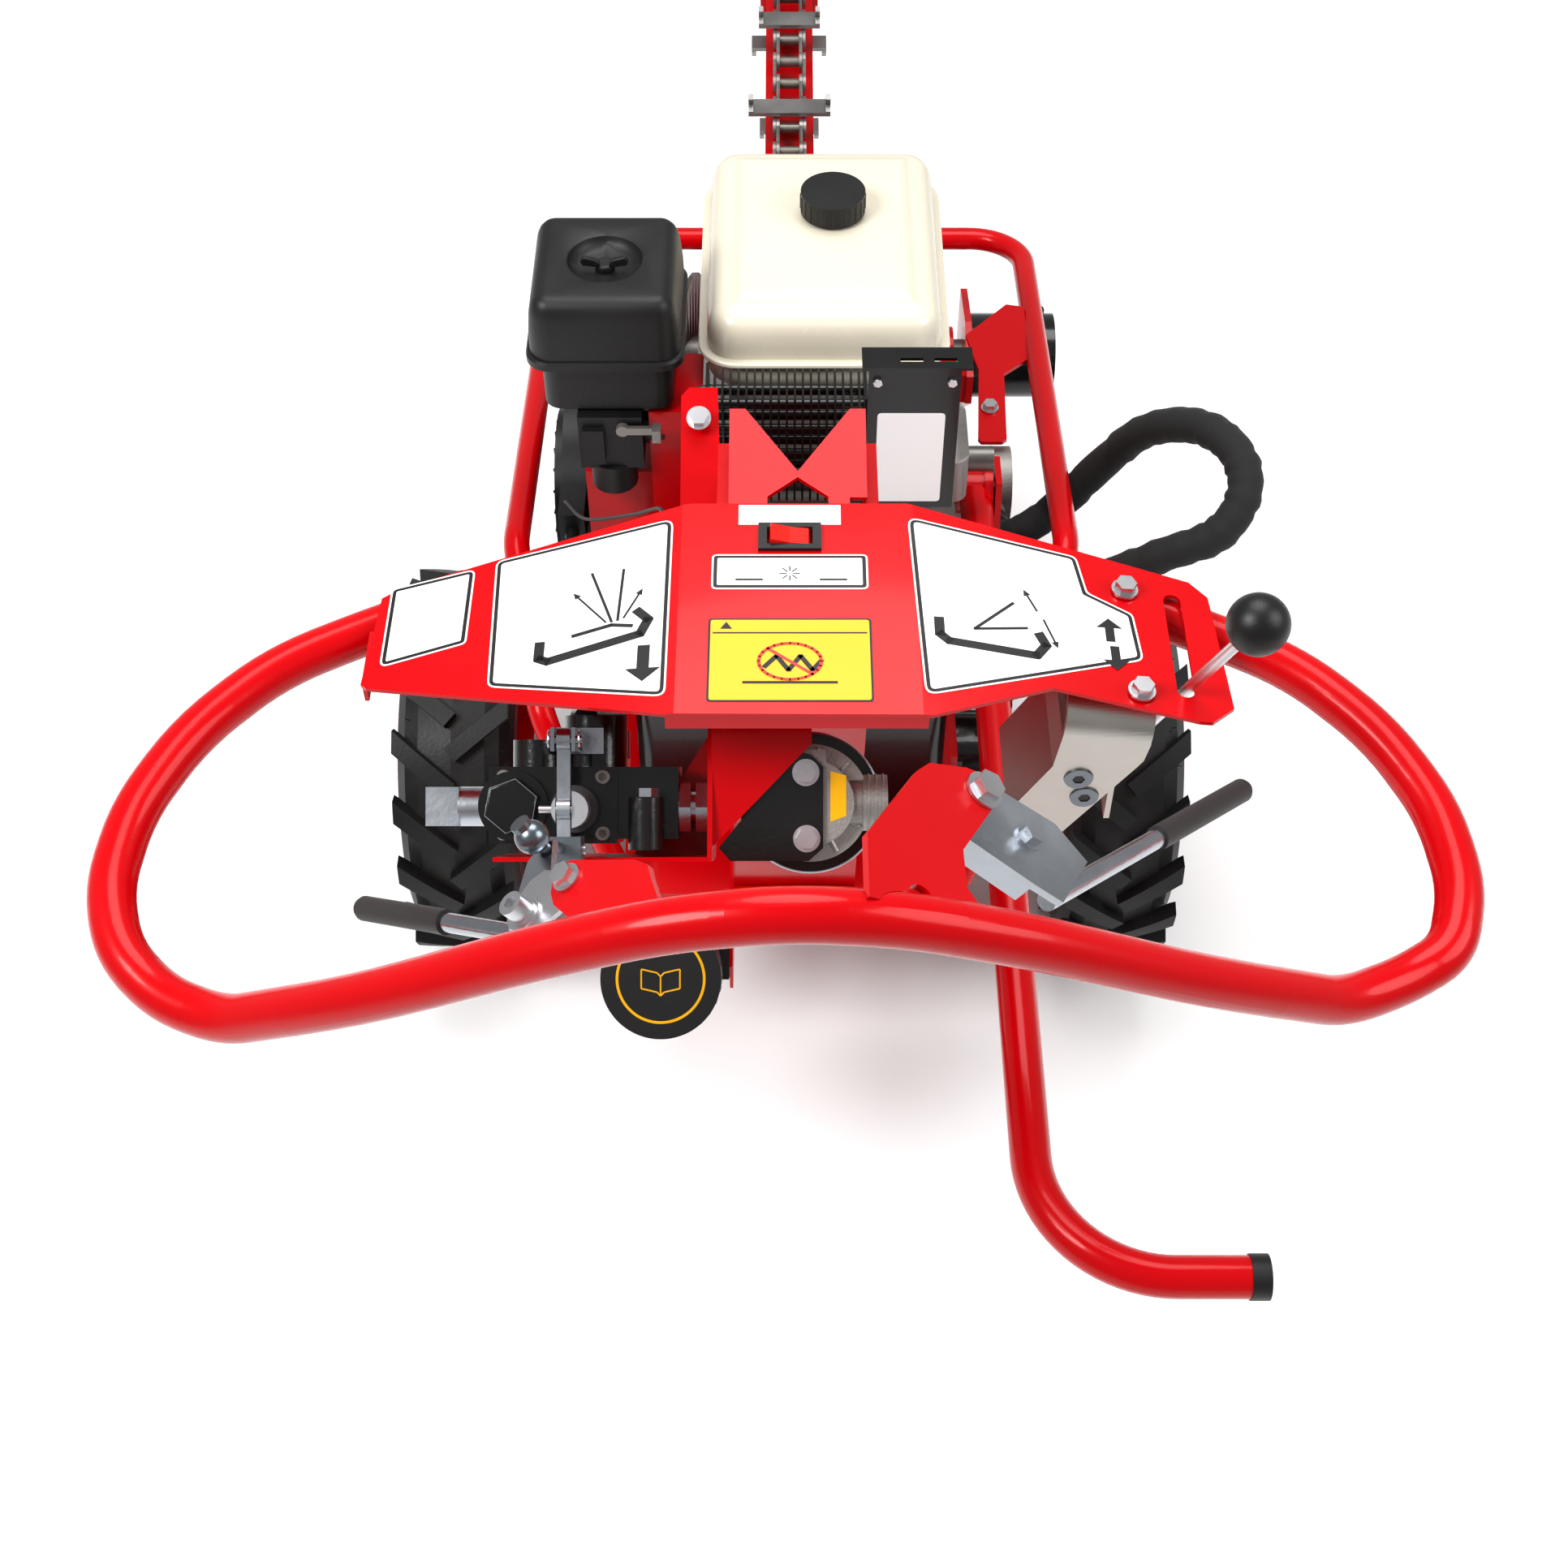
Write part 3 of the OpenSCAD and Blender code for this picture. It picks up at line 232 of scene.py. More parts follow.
# ------------------------------------------------------------------ mesh building
class Geo:
    """Collects vertices and faces in row-frame metres and makes one named piece of them."""

    def __init__(self):
        self.v = []
        self.f = []

    def add(self, verts, faces):
        k = len(self.v)
        self.v += [Vector(p) for p in verts]
        self.f += [[i + k for i in f] for f in faces]
        return self

    def prism(self, outline, normal, depth):
        """A closed flat outline (points in order, counter-clockwise about normal) pushed along -normal."""
        n = Vector(normal).normalized()
        top = [Vector(p) for p in outline]
        c = len(top)
        low = [p - n * depth for p in top]
        faces = [list(range(c)), list(range(2 * c - 1, c - 1, -1))]
        faces += [[i, c + i, c + (i + 1) % c, (i + 1) % c] for i in range(c)]
        return self.add(top + low, faces)

    def lathe(self, profile, origin, axis, n=32, close=False):
        """A profile of (radius, along) turned about an axis."""
        a = Vector(axis).normalized()
        u = a.orthogonal().normalized()
        w = a.cross(u)
        o = Vector(origin)
        rows = []                       # the vertex numbers of each ring, or of one point on the axis
        verts = []
        for r, h in profile:
            if r < 1e-7:
                rows.append([len(verts)])
                verts.append(o + a * h)
            else:
                rows.append(list(range(len(verts), len(verts) + n)))
                verts += [o + a * h + (u * math.cos(t) + w * math.sin(t)) * r
                          for t in (2 * math.pi * i / n for i in range(n))]
        faces = []
        pairs = list(zip(rows, rows[1:]))
        if close:
            pairs.append((rows[-1], rows[0]))
        for p, q in pairs:
            for i in range(n):
                j = (i + 1) % n
                if len(p) == 1 and len(q) == 1:
                    continue
                if len(p) == 1:
                    faces.append([p[0], q[j], q[i]])
                elif len(q) == 1:
                    faces.append([p[i], p[j], q[0]])
                else:
                    faces.append([p[i], p[j], q[j], q[i]])
        return self.add(verts, faces)

    def rod(self, a, b, r, n=24, chamfer=0.0):
        a, b = Vector(a), Vector(b)
        h = (b - a).length
        c = chamfer
        if c:
            prof = [(0, 0), (r - c, 0), (r, c), (r, h - c), (r - c, h), (0, h)]
        else:
            prof = [(0, 0), (r, 0), (r, h), (0, h)]
        return self.lathe(prof, a, b - a, n)

    def hexagon(self, p, axis, af, h):
        """A hex head, af across its flats, standing h along axis from p, with a chamfered crown."""
        a = Vector(axis).normalized()
        u = a.orthogonal().normalized()
        w = a.cross(u)
        r = af / 2 / math.cos(math.pi / 6)

        def ring(k, z):
            return [Vector(p) + a * z + (u * math.cos(t) + w * math.sin(t)) * k
                    for t in (math.pi / 3 * i for i in range(6))]

        v = ring(r, 0) + ring(r, h * 0.86) + ring(r * 0.86, h)
        f = [[5, 4, 3, 2, 1, 0], [12, 13, 14, 15, 16, 17]]
        for s in (0, 6):
            f += [[s + i, s + (i + 1) % 6, s + 6 + (i + 1) % 6, s + 6 + i] for i in range(6)]
        return self.add(v, f)

    def sweep(self, path, radius, n=12, closed=False):
        """A round tube along points; radius is a number or one per point."""
        pts = [Vector(p) for p in path]
        m = len(pts)
        rad = radius if isinstance(radius, (list, tuple)) else [radius] * m
        u = None
        verts = []
        for i, p in enumerate(pts):
            a = pts[(i - 1) % m] if closed or i else p
            b = pts[(i + 1) % m] if closed or i < m - 1 else p
            t = (b - a).normalized()
            u = t.orthogonal().normalized() if u is None else (u - t * u.dot(t)).normalized()
            w = t.cross(u)
            verts += [p + (u * math.cos(s) + w * math.sin(s)) * rad[i]
                      for s in (2 * math.pi * k / n for k in range(n))]
        faces = []
        for i in range(m if closed else m - 1):
            a, b = i * n, ((i + 1) % m) * n
            faces += [[a + k, a + (k + 1) % n, b + (k + 1) % n, b + k] for k in range(n)]
        if not closed:
            faces += [list(range(n - 1, -1, -1)), list(range((m - 1) * n, m * n))]
        return self.add(verts, faces)

    def make(self, name, mat, body, slot=None, bevel=0.0, flat=False):
        me = bpy.data.meshes.new(name)
        me.from_pydata([tuple(p) for p in self.v], [], self.f)
        me.validate()
        bm = bmesh.new()
        bm.from_mesh(me)
        bmesh.ops.recalc_face_normals(bm, faces=bm.faces)
        bm.to_mesh(me)
        bm.free()
        ob = bpy.data.objects.new(name, me)
        bpy.context.collection.objects.link(ob)
        me.materials.append(mat)
        finish_mesh(ob, bevel, flat)
        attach(ob, body)
        return ob


def finish_mesh(ob, bevel, flat):
    if bevel:
        b = ob.modifiers.new("edges", "BEVEL")
        b.width = bevel
        b.segments = 2
        b.limit_method = "ANGLE"
        b.angle_limit = EDGE_ANGLE
        b.harden_normals = False
    if not flat:
        ob.data.polygons.foreach_set("use_smooth", [True] * len(ob.data.polygons))
        ob.data.set_sharp_from_angle(angle=EDGE_ANGLE)
        ob.data.update()


def spline(points, per):
    """Catmull-Rom points through the given ones, per of them for each stretch."""
    p = [Vector(q) for q in points]
    last = len(p) - 1
    out = []
    for i in range(last):
        a, b, c, d = (p[min(max(i + k, 0), last)] for k in (-1, 0, 1, 2))
        for s in range(per):
            t = s / per
            out.append(0.5 * ((2 * b) + (c - a) * t + (2 * a - 5 * b + 4 * c - d) * t * t
                              + (3 * b - a - 3 * c + d) * t * t * t))
    out.append(p[-1])
    return out


camera()
F = finishes()
studio()

# which finish each CAD node wears, and the bevel in metres on those with plain machined edges
LOOK = {
    "red": "chassis_frame mast console_bracket control_panel handlebar lever_brackets cooling_shroud "
           "side_rails lift_lever boom left_rim right_rim",
    "cast_black": "chain_valve filter_plate drive_valve hydraulic_motors",
    "black": "filter_canister muffler_shield oil_cooler oil_tank",
    "plastic": "switch_bezel manual_tube recoil_housing air_cleaner carburettor direction_knob "
               "manual_tube_lid fuel_cap starter_grip lift_lever_cap",
    "zinc": "valve_fittings valve_bar chain_lever drive_lever lift_link",
    "screw": "chain_pull_rod",
    "bright": "fasteners valve_spool direction_lever",
    "cast": "filter_head engine_block hydraulic_pump choke_lever",
    "alu": "direction_bracket",
    "steel": "muffler digging_chain chain_cutters nose_roller head_shaft auger",
    "tyre": "left_tyre right_tyre left_front_wheel right_front_wheel",
    "sleeve": "hose_sleeve",
    "grip": "chain_lever_grip drive_lever_grip ignition_wire",
    "switch": "ignition_rocker",
    "cream": "fuel_tank",
}
BEVEL = {
    "control_panel": 0.0012, "mast": 0.001, "console_bracket": 0.001, "lever_brackets": 0.0012,
    "filter_plate": 0.0008, "chain_valve": 0.0016,
    "direction_bracket": 0.0008, "valve_bar": 0.0006, "muffler_shield": 0.0007,
    "recoil_housing": 0.0025, "carburettor": 0.002, "filter_head": 0.0015, "filter_canister": 0.0015,
    "left_tyre": 0.0018, "right_tyre": 0.0018, "left_rim": 0.001, "right_rim": 0.001,
    "manual_tube_lid": 0.0018, "lift_lever_cap": 0.0012, "hydraulic_pump": 0.002, "engine_block": 0.0015,
    "chassis_frame": 0.0012, "boom": 0.001, "switch_bezel": 0.0008, "ignition_rocker": 0.001,
    "fuel_cap": 0.002, "oil_tank": 0.003, "hydraulic_motors": 0.0015, "cooling_shroud": 0.002,
    "muffler": 0.002,
}


def dress_cad_nodes():
    for key, names in LOOK.items():
        for name in names.split():
            ob = N[name]
            ob.data.materials.clear()
            ob.data.materials.append(F[key])
            if name in BEVEL:
                finish_mesh(ob, BEVEL[name], flat=True)


dress_cad_nodes()


# ------------------------------------------------------------------ shape helpers
def four_corners(centres, r):
    """A quarter circle round each of four centres, counter-clockwise from the right-hand side."""
    out = []
    for corner, (cx, cy) in enumerate(centres):
        for k in range(CORNER_POINTS):
            t = RAD(90 * corner + 90 * k / (CORNER_POINTS - 1))
            out.append((cx + r * math.cos(t), cy + r * math.sin(t)))
    return out


def rounded(x0, y0, x1, y1, r):
    """Points around a rounded rectangle."""
    return four_corners([(x1 - r, y1 - r), (x0 + r, y1 - r), (x0 + r, y0 + r), (x1 - r, y0 + r)], r)


def loft(g, rings):
    """Join rings of equal point counts; the first and the last are closed with a face."""
    verts = [q for ring in rings for q in ring]
    n = len(rings[0])
    faces = [list(range(n - 1, -1, -1)), list(range((len(rings) - 1) * n, len(rings) * n))]
    for k in range(len(rings) - 1):
        a, b = k * n, (k + 1) * n
        faces += [[a + i, a + (i + 1) % n, b + (i + 1) % n, b + i] for i in range(n)]
    return g.add(verts, faces)


def pressed(x0, y0, x1, y1, r, stack):
    """Rings of a moulded box: stack holds (inset, z) from the bottom up, in design mm."""
    rings = []
    for i, z in stack:
        outline = rounded(x0 + i, y0 + i, x1 - i, y1 - i, max(1.5, r - i))
        rings.append([P(x, y, z) for x, y in outline])
    return rings


def around(cx, cy, r, z):
    """A circle whose points match those of rounded()."""
    return [P(x, y, z) for x, y in four_corners([(cx, cy)] * 4, r)]


# ------------------------------------------------------------------ cords
def wrinkled(points, r, per, amount, seed):
    """Centres and radii of a sleeved hose: soft uneven folds, and slightly tighter at the two ends."""
    pts = spline(points, per)
    gen = random.Random(seed)
    radii = []
    for i in range(len(pts)):
        fold = math.sin(i * 1.9) * 0.5 + gen.uniform(-0.6, 0.6)
        radii.append(r + amount * fold)
    radii[0] = radii[-1] = r * 0.97
    return pts, radii


# routes in design mm: pump port to wheel motor port, and engine to console
HOSE = [(210, 147.3, 417), (211, 120, 419), (232, 112, 428), (272, 130, 446), (318, 140, 500),
        (352, 120, 560), (392, 80, 600), (420, 34, 610), (426, -8, 596), (402, -34, 566),
        (350, -30, 532), (294, -12, 476), (250, 2, 410), (223, 1, 340), (216, 0, 300), (216, 0, 274.8)]
WIRE = [(-222, 57, 522), (-216, 20, 556), (-190, -50, 600), (-140, -130, 680), (-108, -230, 780),
        (-100, -330, 858)]


def cords():
    pts, radii = wrinkled([P(*q) for q in HOSE], 0.0168, 9, 0.0011, 3)
    g = Geo().sweep(pts, radii, 22)
    ob = g.make("hose_sleeve_cloth", F["sleeve"], "chassis", "sleeve_fabric")
    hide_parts("hose_sleeve")
    wp = spline([P(*q) for q in WIRE], 8)
    g = Geo().sweep(wp, 0.0016, 10)
    ob = g.make("ignition_wire_lead", F["grip"], "chassis", "grip_rubber")
    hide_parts("ignition_wire")


cords()


# ------------------------------------------------------------------ panel labels: plain fields and pictograms
PANEL_TOP = 930
LEFT_FOLD, RIGHT_FOLD = -79, 84                  # the panel's wings fall away outside these
LEFT_FALL, RIGHT_FALL = 23.2 / 221, 22.7 / 216
EDGE_UP, BORDER_UP, FACE_UP, INK_UP = 0.30, 0.42, 0.54, 0.68      # label layers, mm above the panel
INK_THICK = 0.00012


def panel_z(x):
    if x < LEFT_FOLD:
        return PANEL_TOP - (LEFT_FOLD - x) * LEFT_FALL
    if x > RIGHT_FOLD:
        return PANEL_TOP - (x - RIGHT_FOLD) * RIGHT_FALL
    return PANEL_TOP


def on_panel(x, y, up=0.0):
    return P(x, y, panel_z(x) + up)


def panel_normal(x):
    if x < LEFT_FOLD:
        return Vector((-LEFT_FALL, 0, 1))
    if x > RIGHT_FOLD:
        return Vector((RIGHT_FALL, 0, 1))
    return Vector((0, 0, 1))


def round_corners(pts, r):
    """An outline with every corner replaced by a curve of five points."""
    n = 5
    out = []
    c = len(pts)
    for i in range(c):
        a, b, d = (Vector((*pts[(i + k) % c], 0)) for k in (-1, 0, 1))
        u, w = (a - b).normalized(), (d - b).normalized()
        half = math.acos(max(-1, min(1, u.dot(w)))) / 2
        t = r / math.tan(half)
        s, e = b + u * t, b + w * t
        for k in range(n):
            f = k / (n - 1)
            q = s * (1 - f) ** 2 + b * 2 * f * (1 - f) + e * f ** 2
            out.append((q.x, q.y))
    return out


def ccw(pts):
    """The outline in counter-clockwise order."""
    area2 = sum(a[0] * b[1] - b[0] * a[1] for a, b in zip(pts, pts[1:] + pts[:1]))
    return pts if area2 > 0 else pts[::-1]


def shrink(pts, d):
    """A smaller copy of an outline, by moving every edge in by d."""
    pts = ccw(pts)
    c = len(pts)
    out = []
    for i in range(c):
        a, b, e = (Vector(pts[(i + k) % c]) for k in (-1, 0, 1))
        n1 = Vector((-(b - a).y, (b - a).x)).normalized()
        n2 = Vector((-(e - b).y, (e - b).x)).normalized()
        m = (n1 + n2).normalized()
        q = b + m * (d / max(0.3, m.dot(n1)))
        out.append((q.x, q.y))
    return out


def field(name, pts, mat, up, r, thick):
    """A flat sticker layer; up and thick are in mm."""
    pts = ccw(pts)
    if r:
        pts = round_corners(pts, r)
    n = panel_normal(sum(p[0] for p in pts) / len(pts))
    g = Geo().prism([on_panel(x, y, up) for x, y in pts], n, thick / 1000)
    return g.make(name, mat, "chassis", flat=True)


def strokes(g, lines, width, up):
    """Each line is a list of panel points, drawn as a flat band."""
    for line in lines:
        for a, b in zip(line, line[1:]):
            d = Vector((b[0] - a[0], b[1] - a[1]))
            d.normalize()
            s = Vector((-d.y, d.x)) * width / 2
            e = d * width * 0.25
            q = [(a[0] - e.x + s.x, a[1] - e.y + s.y), (a[0] - e.x - s.x, a[1] - e.y - s.y),
                 (b[0] + e.x - s.x, b[1] + e.y - s.y), (b[0] + e.x + s.x, b[1] + e.y + s.y)]
            n = panel_normal((a[0] + b[0]) / 2)
            g.prism([on_panel(x, y, up) for x, y in q], n, INK_THICK)
    return g


def solid(g, pts, up):
    """A filled outline in ink."""
    pts = ccw(pts)
    n = panel_normal(sum(p[0] for p in pts) / len(pts))
    g.prism([on_panel(x, y, up) for x, y in pts], n, INK_THICK)


def arrow(g, x, y0, y1, w, up):
    """A fat arrow from y0 to y1."""
    d = 1 if y1 > y0 else -1
    k = y1 - d * w
    solid(g, [(x - w * 0.35, y0), (x + w * 0.35, y0), (x + w * 0.35, k), (x + w, k), (x, y1), (x - w, k),
              (x - w * 0.35, k)], up)


def dart(g, a, b, w, up):
    """A thin line with a small head at b."""
    d = Vector((b[0] - a[0], b[1] - a[1])).normalized()
    s = Vector((-d.y, d.x))
    k = Vector(b) - d * w * 4
    strokes(g, [[a, (k.x, k.y)]], w, up)
    solid(g, [b, (k.x + s.x * w * 1.7, k.y + s.y * w * 1.7), (k.x - s.x * w * 1.7, k.y - s.y * w * 1.7)], up)


def panel_labels():
    big_l = [(-209, -432), (-85, -402), (-85, -572), (-205, -552)]
    big_r = [(80, -401), (198, -429), (203, -464), (233, -482), (236, -525), (86, -571)]
    wing = [(-281, -452), (-223, -438), (-223, -510), (-281, -527)]
    switch = [(-57, -439), (51, -439), (51, -473), (-57, -473)]
    tag = [(-39, -389), (33, -389), (33, -409), (-39, -409)]
    warn = [(-58, -501), (52, -501), (52, -577), (-58, -577)]
    for name, pts, r in (("label_left", big_l, 7), ("label_right", big_r, 7), ("label_wing", wing, 5),
                         ("label_switch", switch, 4)):
        field(name + "_edge", pts, F["white"], EDGE_UP, r, 0.25)
        field(name + "_border", shrink(pts, 1.3), F["ink"], BORDER_UP, max(1, r - 1.3), 0.1)
        field(name + "_face", shrink(pts, 3.9), F["white"], FACE_UP, max(1, r - 3.9), 0.1)
    field("label_tag", tag, F["white"], 0.35, 0, 0.3)
    bar = [(-55, -514), (49, -514), (49, -515.4), (-55, -515.4)]
    field("label_caution_edge", warn, F["ink"], EDGE_UP, 3, 0.25)
    field("label_caution_head", shrink(warn, 1.5), F["yellow"], BORDER_UP, 2, 0.1)
    field("label_caution_bar", bar, F["ink"], 0.52, 0, 0.08)
    pictograms(INK_UP)


def pictograms(up):
    g = Geo()
    # left label: a lever at three stops above its tray, and a fat arrow
    strokes(g, [[(-172, -516), (-172, -530), (-166, -533), (-104, -513), (-99, -500), (-107, -491)]], 7, up)
    dart(g, (-128, -500), (-152, -470), 1.5, up)
    strokes(g, [[(-124, -500), (-140, -452)], [(-120, -499), (-118, -450)]], 2.0, up)
    dart(g, (-116, -497), (-104, -470), 1.5, up)
    strokes(g, [[(-150, -511), (-124, -503), (-110, -505)]], 3.2, up)
    arrow(g, -101, -524, -557, 12, up)
    # right label: a lever at two stops above its tray, and arrows up and down
    strokes(g, [[(98, -500), (98, -514), (104, -520), (163, -528), (170, -518), (166, -508)]], 7, up)
    strokes(g, [[(122, -507), (150, -480)], [(122, -507), (158, -503)]], 2.4, up)
    dart(g, (170, -494), (178, -520), 1.5, up)
    dart(g, (166, -486), (158, -466), 1.5, up)
    arrow(g, 215, -510, -488, 9, up)
    arrow(g, 217, -514, -536, 9, up)
    # switch label: a small burst between two bars
    for k in range(8):
        t = RAD(45 * k)
        strokes(g, [[(-3 + 2.5 * math.cos(t), -458 + 2.5 * math.sin(t)),
                     (-3 + 7 * math.cos(t), -458 + 7 * math.sin(t))]], 0.9, up)
    strokes(g, [[(-40, -464), (-22, -464)], [(18, -464), (36, -464)]], 1.8, up)
    # caution label: a triangle mark, and a ring with a bar across a zigzag blade over the ground
    solid(g, [(-50, -511), (-42, -511), (-46, -504.5)], up)
    strokes(g, [[(-20, -546), (-12, -536), (-4, -549), (4, -536), (12, -549), (18, -540)]], 3.4, up)
    strokes(g, [[(-34, -560), (28, -560)]], 2.2, up)
    g.make("label_pictograms", F["ink"], "chassis", flat=True)
    g = Geo()
    ring = [(-3 + 21 * math.cos(RAD(15 * k)), -541 + 16.5 * math.sin(RAD(15 * k))) for k in range(25)]
    strokes(g, [ring, [ring[9], ring[21]]], 2.2, up + 0.12)
    g.make("label_ring", F["switch"], "chassis", flat=True)


panel_labels()


# ------------------------------------------------------------------ engine
def air_cleaner():
    """A cover with rolled edges, and a dish for its wing nut."""
    x, y = -170, 104
    g = Geo()
    loft(g, pressed(-230, 40, -110, 170, 16, [(4, 652.2), (0, 656), (0, 708)]))
    loft(g, pressed(-243, 27, -98, 181, 22, [(2, 708.5), (0, 710), (0, 716.5), (1.5, 718.5), (3.5, 719)]))
    rings = pressed(-239.5, 30, -101, 178, 21, [(0, 717), (0.5, 740), (2.5, 760), (4, 767), (6.5, 772.5),
                                              (10, 776.3), (14, 778.4), (19, 779)])
    dish = ((38, 779), (34.5, 777.5), (33, 774), (30, 770), (24, 767.5), (8, 767))
    rings += [around(x, y, r, z) for r, z in dish]
    loft(g, rings)
    ob = g.make("air_cleaner_cover", F["plastic"], "chassis", "black_plastic")
    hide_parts("air_cleaner")
    g = Geo()
    g.rod(P(x, y, 766), P(x, y, 774), 0.009, 24, 0.0015)
    wing = ((5, 773), (20, 775), (22, 779), (19, 784), (8, 781), (4, 777))
    for side in (-1, 1):
        g.prism([P(x + side * dx, y - 2.5, z) for dx, z in wing], (0, -1, 0), -0.005)
    g.make("air_cleaner_wing_nut", F["plastic"], "chassis", "black_plastic", bevel=0.001)


def fuel_tank():
    """Two pressings that meet at a rolled lip, a filler neck, and grip ribs round the cap."""
    x, y = 40, 240
    g = Geo()
    loft(g, pressed(-80, 80, 142, 364, 30, [(16, 642.2), (6, 645), (1.5, 651), (0, 660), (0, 676)]))
    loft(g, pressed(-88, 72, 150, 372, 36, [(3, 675.2), (0.8, 676), (0, 678), (0.8, 680), (3, 681)]))
    loft(g, pressed(-80, 80, 142, 364, 30, [(0, 680.5), (0.5, 694), (2, 706), (5, 714), (10, 720), (17, 723),
                                           (24, 724), (27, 725.5), (31, 729), (36, 730.6), (44, 731)]))
    g.rod(P(x, y, 730), P(x, y, 741), 0.024, 36, 0.002)
    ob = g.make("fuel_tank_pressings", F["cream"], "chassis", "cream_paint")
    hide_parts("fuel_tank")
    g = Geo()
    for k in range(24):
        t = RAD(15 * k)
        out = Vector((math.cos(t), math.sin(t), 0)) * 0.0304
        g.rod(P(x, y, 736) + out, P(x, y, 753) + out, 0.0014, 8, 0.0004)
    g.make("fuel_cap_ribs", F["plastic"], "fuel_cap", "black_plastic")


def muffler_shield():
    """A blank label plate and two screws."""
    plate = round_corners(ccw([(77, 598), (138, 598), (138, 704), (77, 704)]), 4)
    g = Geo().prism([P(x, -23.5, z) for x, z in plate], (0, -1, 0), 0.0004)
    g.make("shield_label", F["white"], "chassis", flat=True)
    g = Geo()
    for x in (76, 142):
        g.hexagon(P(x, -23, 740), (0, -1, 0), 0.008, 0.004)
    g.make("shield_screws", F["bright"], "chassis", "bright_steel", bevel=0.0003)


def cooler_bends():
    """Tube returns beside the fins."""
    bend = 10
    g = Geo()
    for z in (585, 615, 645, 675):
        path = []
        for a in range(0, 181, 15):
            t = RAD(a)
            path.append(P(-79, 24 + bend - bend * math.cos(t), z) + Vector((-0.011 * math.sin(t), 0, 0)))
        g.sweep(path, 0.0048, 12)
    g.make("cooler_return_bends", F["black"], "chassis", "black_paint")


def starter_grille():
    centre = P(-243.4, 200, 417)
    g = Geo()
    for k in range(20):
        t = RAD(18 * k)
        d = Vector((0, math.cos(t), math.sin(t)))
        g.rod(centre + d * 0.024, centre + d * 0.072, 0.0019, 8)
    g.make("starter_grille", F["plastic"], "chassis", "black_plastic")


air_cleaner()
fuel_tank()
muffler_shield()
cooler_bends()
starter_grille()


# ------------------------------------------------------------------ console: filter, valve and bracket
CONSOLE_UP = con(0, 0, 1) - con(0, 0, 0)
BRACKET_SCREWS = ((197, 834), (203, 814))        # x and z, design mm


def oil_filter():
    """Cast ribs and a grooved boss on the head, the canister's seam, and a blank label."""
    x0, y0 = 11.5, -13
    g = Geo()
    for k in range(10):
        t = RAD(36 * k + 10)
        inner, outer = (con(x0 + r * math.cos(t), y0 + r * math.sin(t), -17) for r in (30, 38.5))
        g.rod(inner, outer, 0.0022, 8)
    groove = [(0.0200, -0.0009), (0.0207, 0), (0.0200, 0.0009)]
    for x in (52, 57, 62):
        g.lathe(groove, con(x, y0, -26), (1, 0, 0), 36, close=True)
    g.make("filter_head_ribs", F["cast"], "chassis", "cast_alloy")
    turn = [RAD(a) for a in range(0, 360, 6)]
    ring = [con(x0 + 49.3 * math.cos(t), y0 + 49.3 * math.sin(t), -49.5) for t in turn]
    g = Geo().sweep(ring, 0.0012, 8, closed=True)
    g.make("filter_seam", F["zinc"], "chassis", "zinc_steel")
    g = Geo()
    g.prism([con(x, y, -4.1) for x, y in ((25, -26), (36, -22), (36, 6), (25, 9))], CONSOLE_UP, 0.0003)
    g.make("filter_label", F["yellow"], "chassis", flat=True)


def chain_valve():
    """The spool's wiper ring, the cap screws, the end plug, and hairpin cotters on the clevis pin."""
    wiper = [(0.0105, 0), (0.0155, 0), (0.0163, 0.0006), (0.0163, 0.0016), (0.0105, 0.0016)]
    g = Geo().lathe(wiper, con(-151, -17, 4.2), CONSOLE_UP, 36, close=True)
    g.make("valve_wiper_ring", F["grip"], "chassis", "grip_rubber")
    g = Geo()
    screw = [(0, 0), (0.0052, 0), (0.0052, 0.004), (0.0046, 0.0046), (0.0026, 0.0046), (0.0026, 0.002),
             (0, 0.002)]
    for x, y in ((-200, -34), (-132, -34), (-200, 5), (-132, 5)):
        g.lathe(screw, con(x, y, -4.2), CONSOLE_UP, 20)
    g.make("valve_cap_screws", F["steel"], "chassis", "dark_steel")
    g = Geo()
    turn = [RAD(20 + 60 * k) for k in range(6)]
    rings = []
    for r, z in ((19.4, 2.3), (19.4, 14.4), (18.2, 15.6)):
        rings.append([con(-193.5 + r * math.cos(t), -15 + r * math.sin(t), z) for t in turn])
    loft(g, rings)
    g.make("valve_end_plug", F["cast_black"], "chassis", "black_paint", bevel=0.0006)
    g = Geo()
    turn = [RAD(a) for a in range(-30, 241, 15)]
    for x in (-165.2, -144.6):
        pin = [con(x, 30 + 6 * math.cos(t), 34 + 6 * math.sin(t)) for t in turn]
        pin += [con(x, 25, 24), con(x, 23, 19)]
        g.sweep(pin, 0.0007, 8)
    g.make("clevis_cotters", F["bright"], "chassis", "bright_steel")


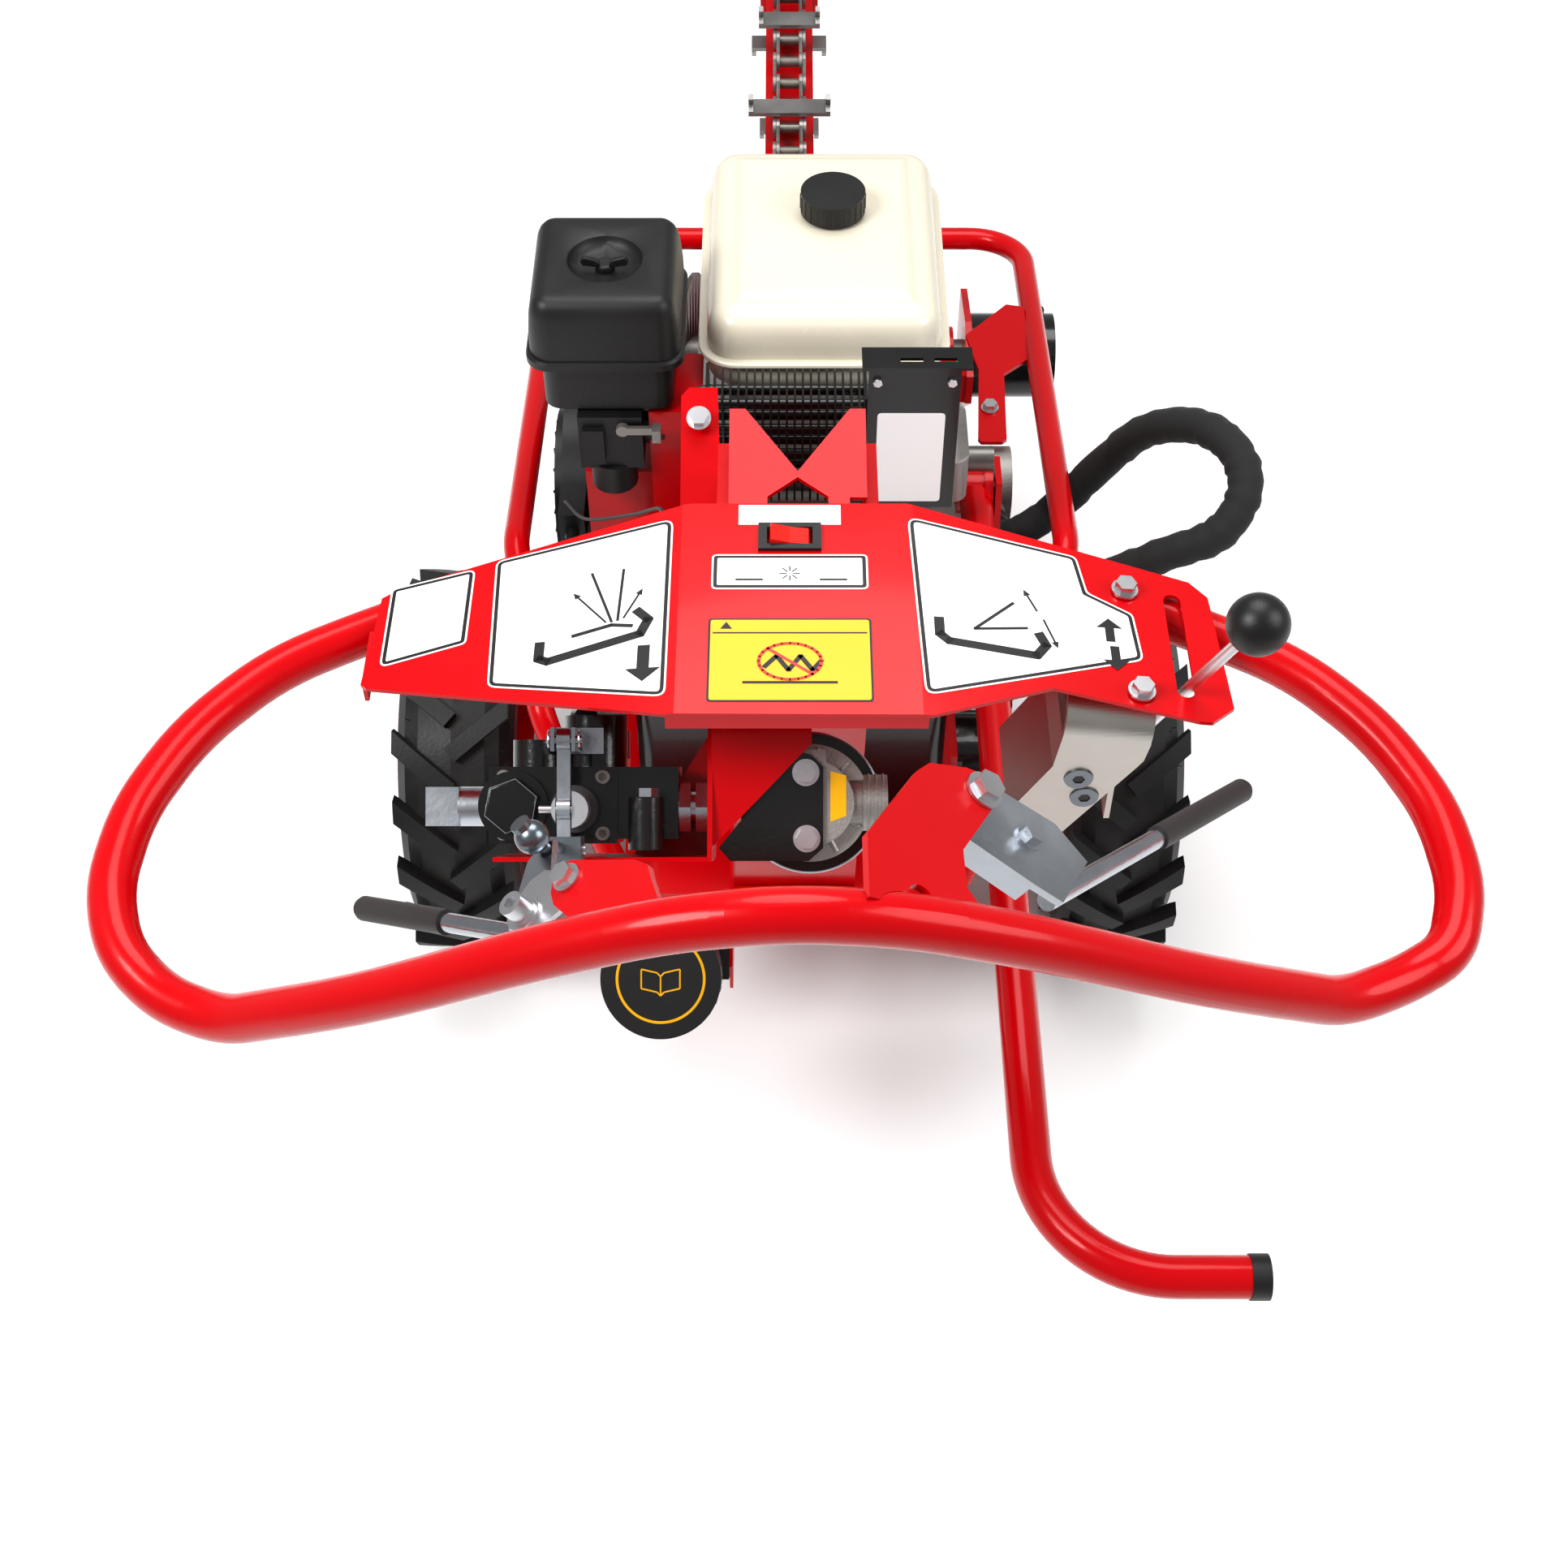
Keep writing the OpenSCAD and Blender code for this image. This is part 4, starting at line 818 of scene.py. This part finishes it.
def bracket_screws():
    """Socket screws in the aluminium bracket: a turned head, a hexagonal hole, and black painted shade on its
    floor.
    """
    head = [(0.0053, 0), (0.0096, 0), (0.0099, -0.0003), (0.0099, -0.0009), (0, -0.0009)]
    n = 36
    per_side = n // 6
    g = Geo()
    for x, z in BRACKET_SCREWS:
        c = P(x, -562.7, z)
        g.lathe(head, c, (0, -1, 0), n)
        hexagon = [Vector((math.cos(RAD(60 * k)), 0, math.sin(RAD(60 * k)))) * 0.0045 for k in range(6)]
        turn = [RAD(10 * k) for k in range(n)]
        outer = [c + Vector((0.0053 * math.cos(t), 0, 0.0053 * math.sin(t))) for t in turn]
        inner = []
        for k in range(n):
            side, step = divmod(k, per_side)
            inner.append(c + hexagon[side].lerp(hexagon[(side + 1) % 6], step / per_side))
        g.add(outer + inner, [[k, (k + 1) % n, n + (k + 1) % n, n + k] for k in range(n)])
    g.make("bracket_screws", F["screw"], "chassis", "zinc_steel")
    # the socket's floor: a thin black hexagon, painted shade in the hole
    g = Geo()
    for x, z in BRACKET_SCREWS:
        g.hexagon(P(x, -561.85, z), (0, -1, 0), 0.0078, 0.0003)
    g.make("bracket_screw_socket_painted_shade", F["ink"], "chassis", flat=True)


oil_filter()
chain_valve()
bracket_screws()


# ------------------------------------------------------------------ manual tube lid
def tube_lid():
    """A ring and an open book on the lid, and grip ribs round it."""
    up = (lid(0, 0, 1) - lid(0, 0, 0)).normalized()
    ring = [(0.0350, 0), (0.0372, 0), (0.0372, 0.0004), (0.0350, 0.0004)]
    g = Geo().lathe(ring, lid(0, 0, 0.05), up, 64, close=True)
    pages = [(-16, -8), (-16, 8), (-3, 5), (0, 2), (3, 5), (16, 8), (16, -8), (3, -11), (0, -14), (-3, -11),
             (-16, -8)]
    spine = [(0, 2), (0, -14)]
    for line in (pages, spine):
        for a, b in zip(line, line[1:]):
            g.rod(lid(*a, 0.25), lid(*b, 0.25), 0.0007, 8)
    g.make("lid_pictogram", F["yellow"], "manual_tube_lid", "black_plastic")
    g = Geo()
    for k in range(30):
        t = RAD(12 * k)
        x, y = 49.3 * math.cos(t), 49.3 * math.sin(t)
        g.rod(lid(x, y, -36), lid(x, y, -4), 0.0012, 8, 0.0004)
    g.make("lid_grip_ribs", F["plastic"], "manual_tube_lid", "black_plastic")


tube_lid()


# ------------------------------------------------------------------ tyres: pinstripes and moulding whiskers
def tyres():
    gen = random.Random(11)
    for side, x, body in (("left", -HALF_TRACK, "left_wheel"), ("right", HALF_TRACK, "right_wheel")):
        g = Geo()
        for r, dx in ((0.146, 58.7), (0.155, 58.5)):
            for face in (-1, 1):
                c = P(x + face * dx, 0, AXLE_HEIGHT)
                g.lathe([(r - 0.0009, 0), (r, 0.0006), (r + 0.0009, 0)], c, (face, 0, 0), 96, close=True)
        g.make(side + "_tyre_stripes", F["stripe"], body, flat=True)
        g = Geo()
        for _ in range(54):
            t = RAD(gen.uniform(0, 360))
            face = gen.choice((-1, 1))
            d = Vector((0, math.cos(t), math.sin(t)))
            root = P(x + face * gen.uniform(30, 48), 0, AXLE_HEIGHT) + d * 0.1845
            tip = root + d * gen.uniform(0.004, 0.009) + Vector((face * gen.uniform(0.002, 0.008), 0, 0))
            g.rod(root, tip, 0.00045, 5)
        g.make(side + "_tyre_whiskers", F["tyre"], body, "tyre_rubber")


tyres()
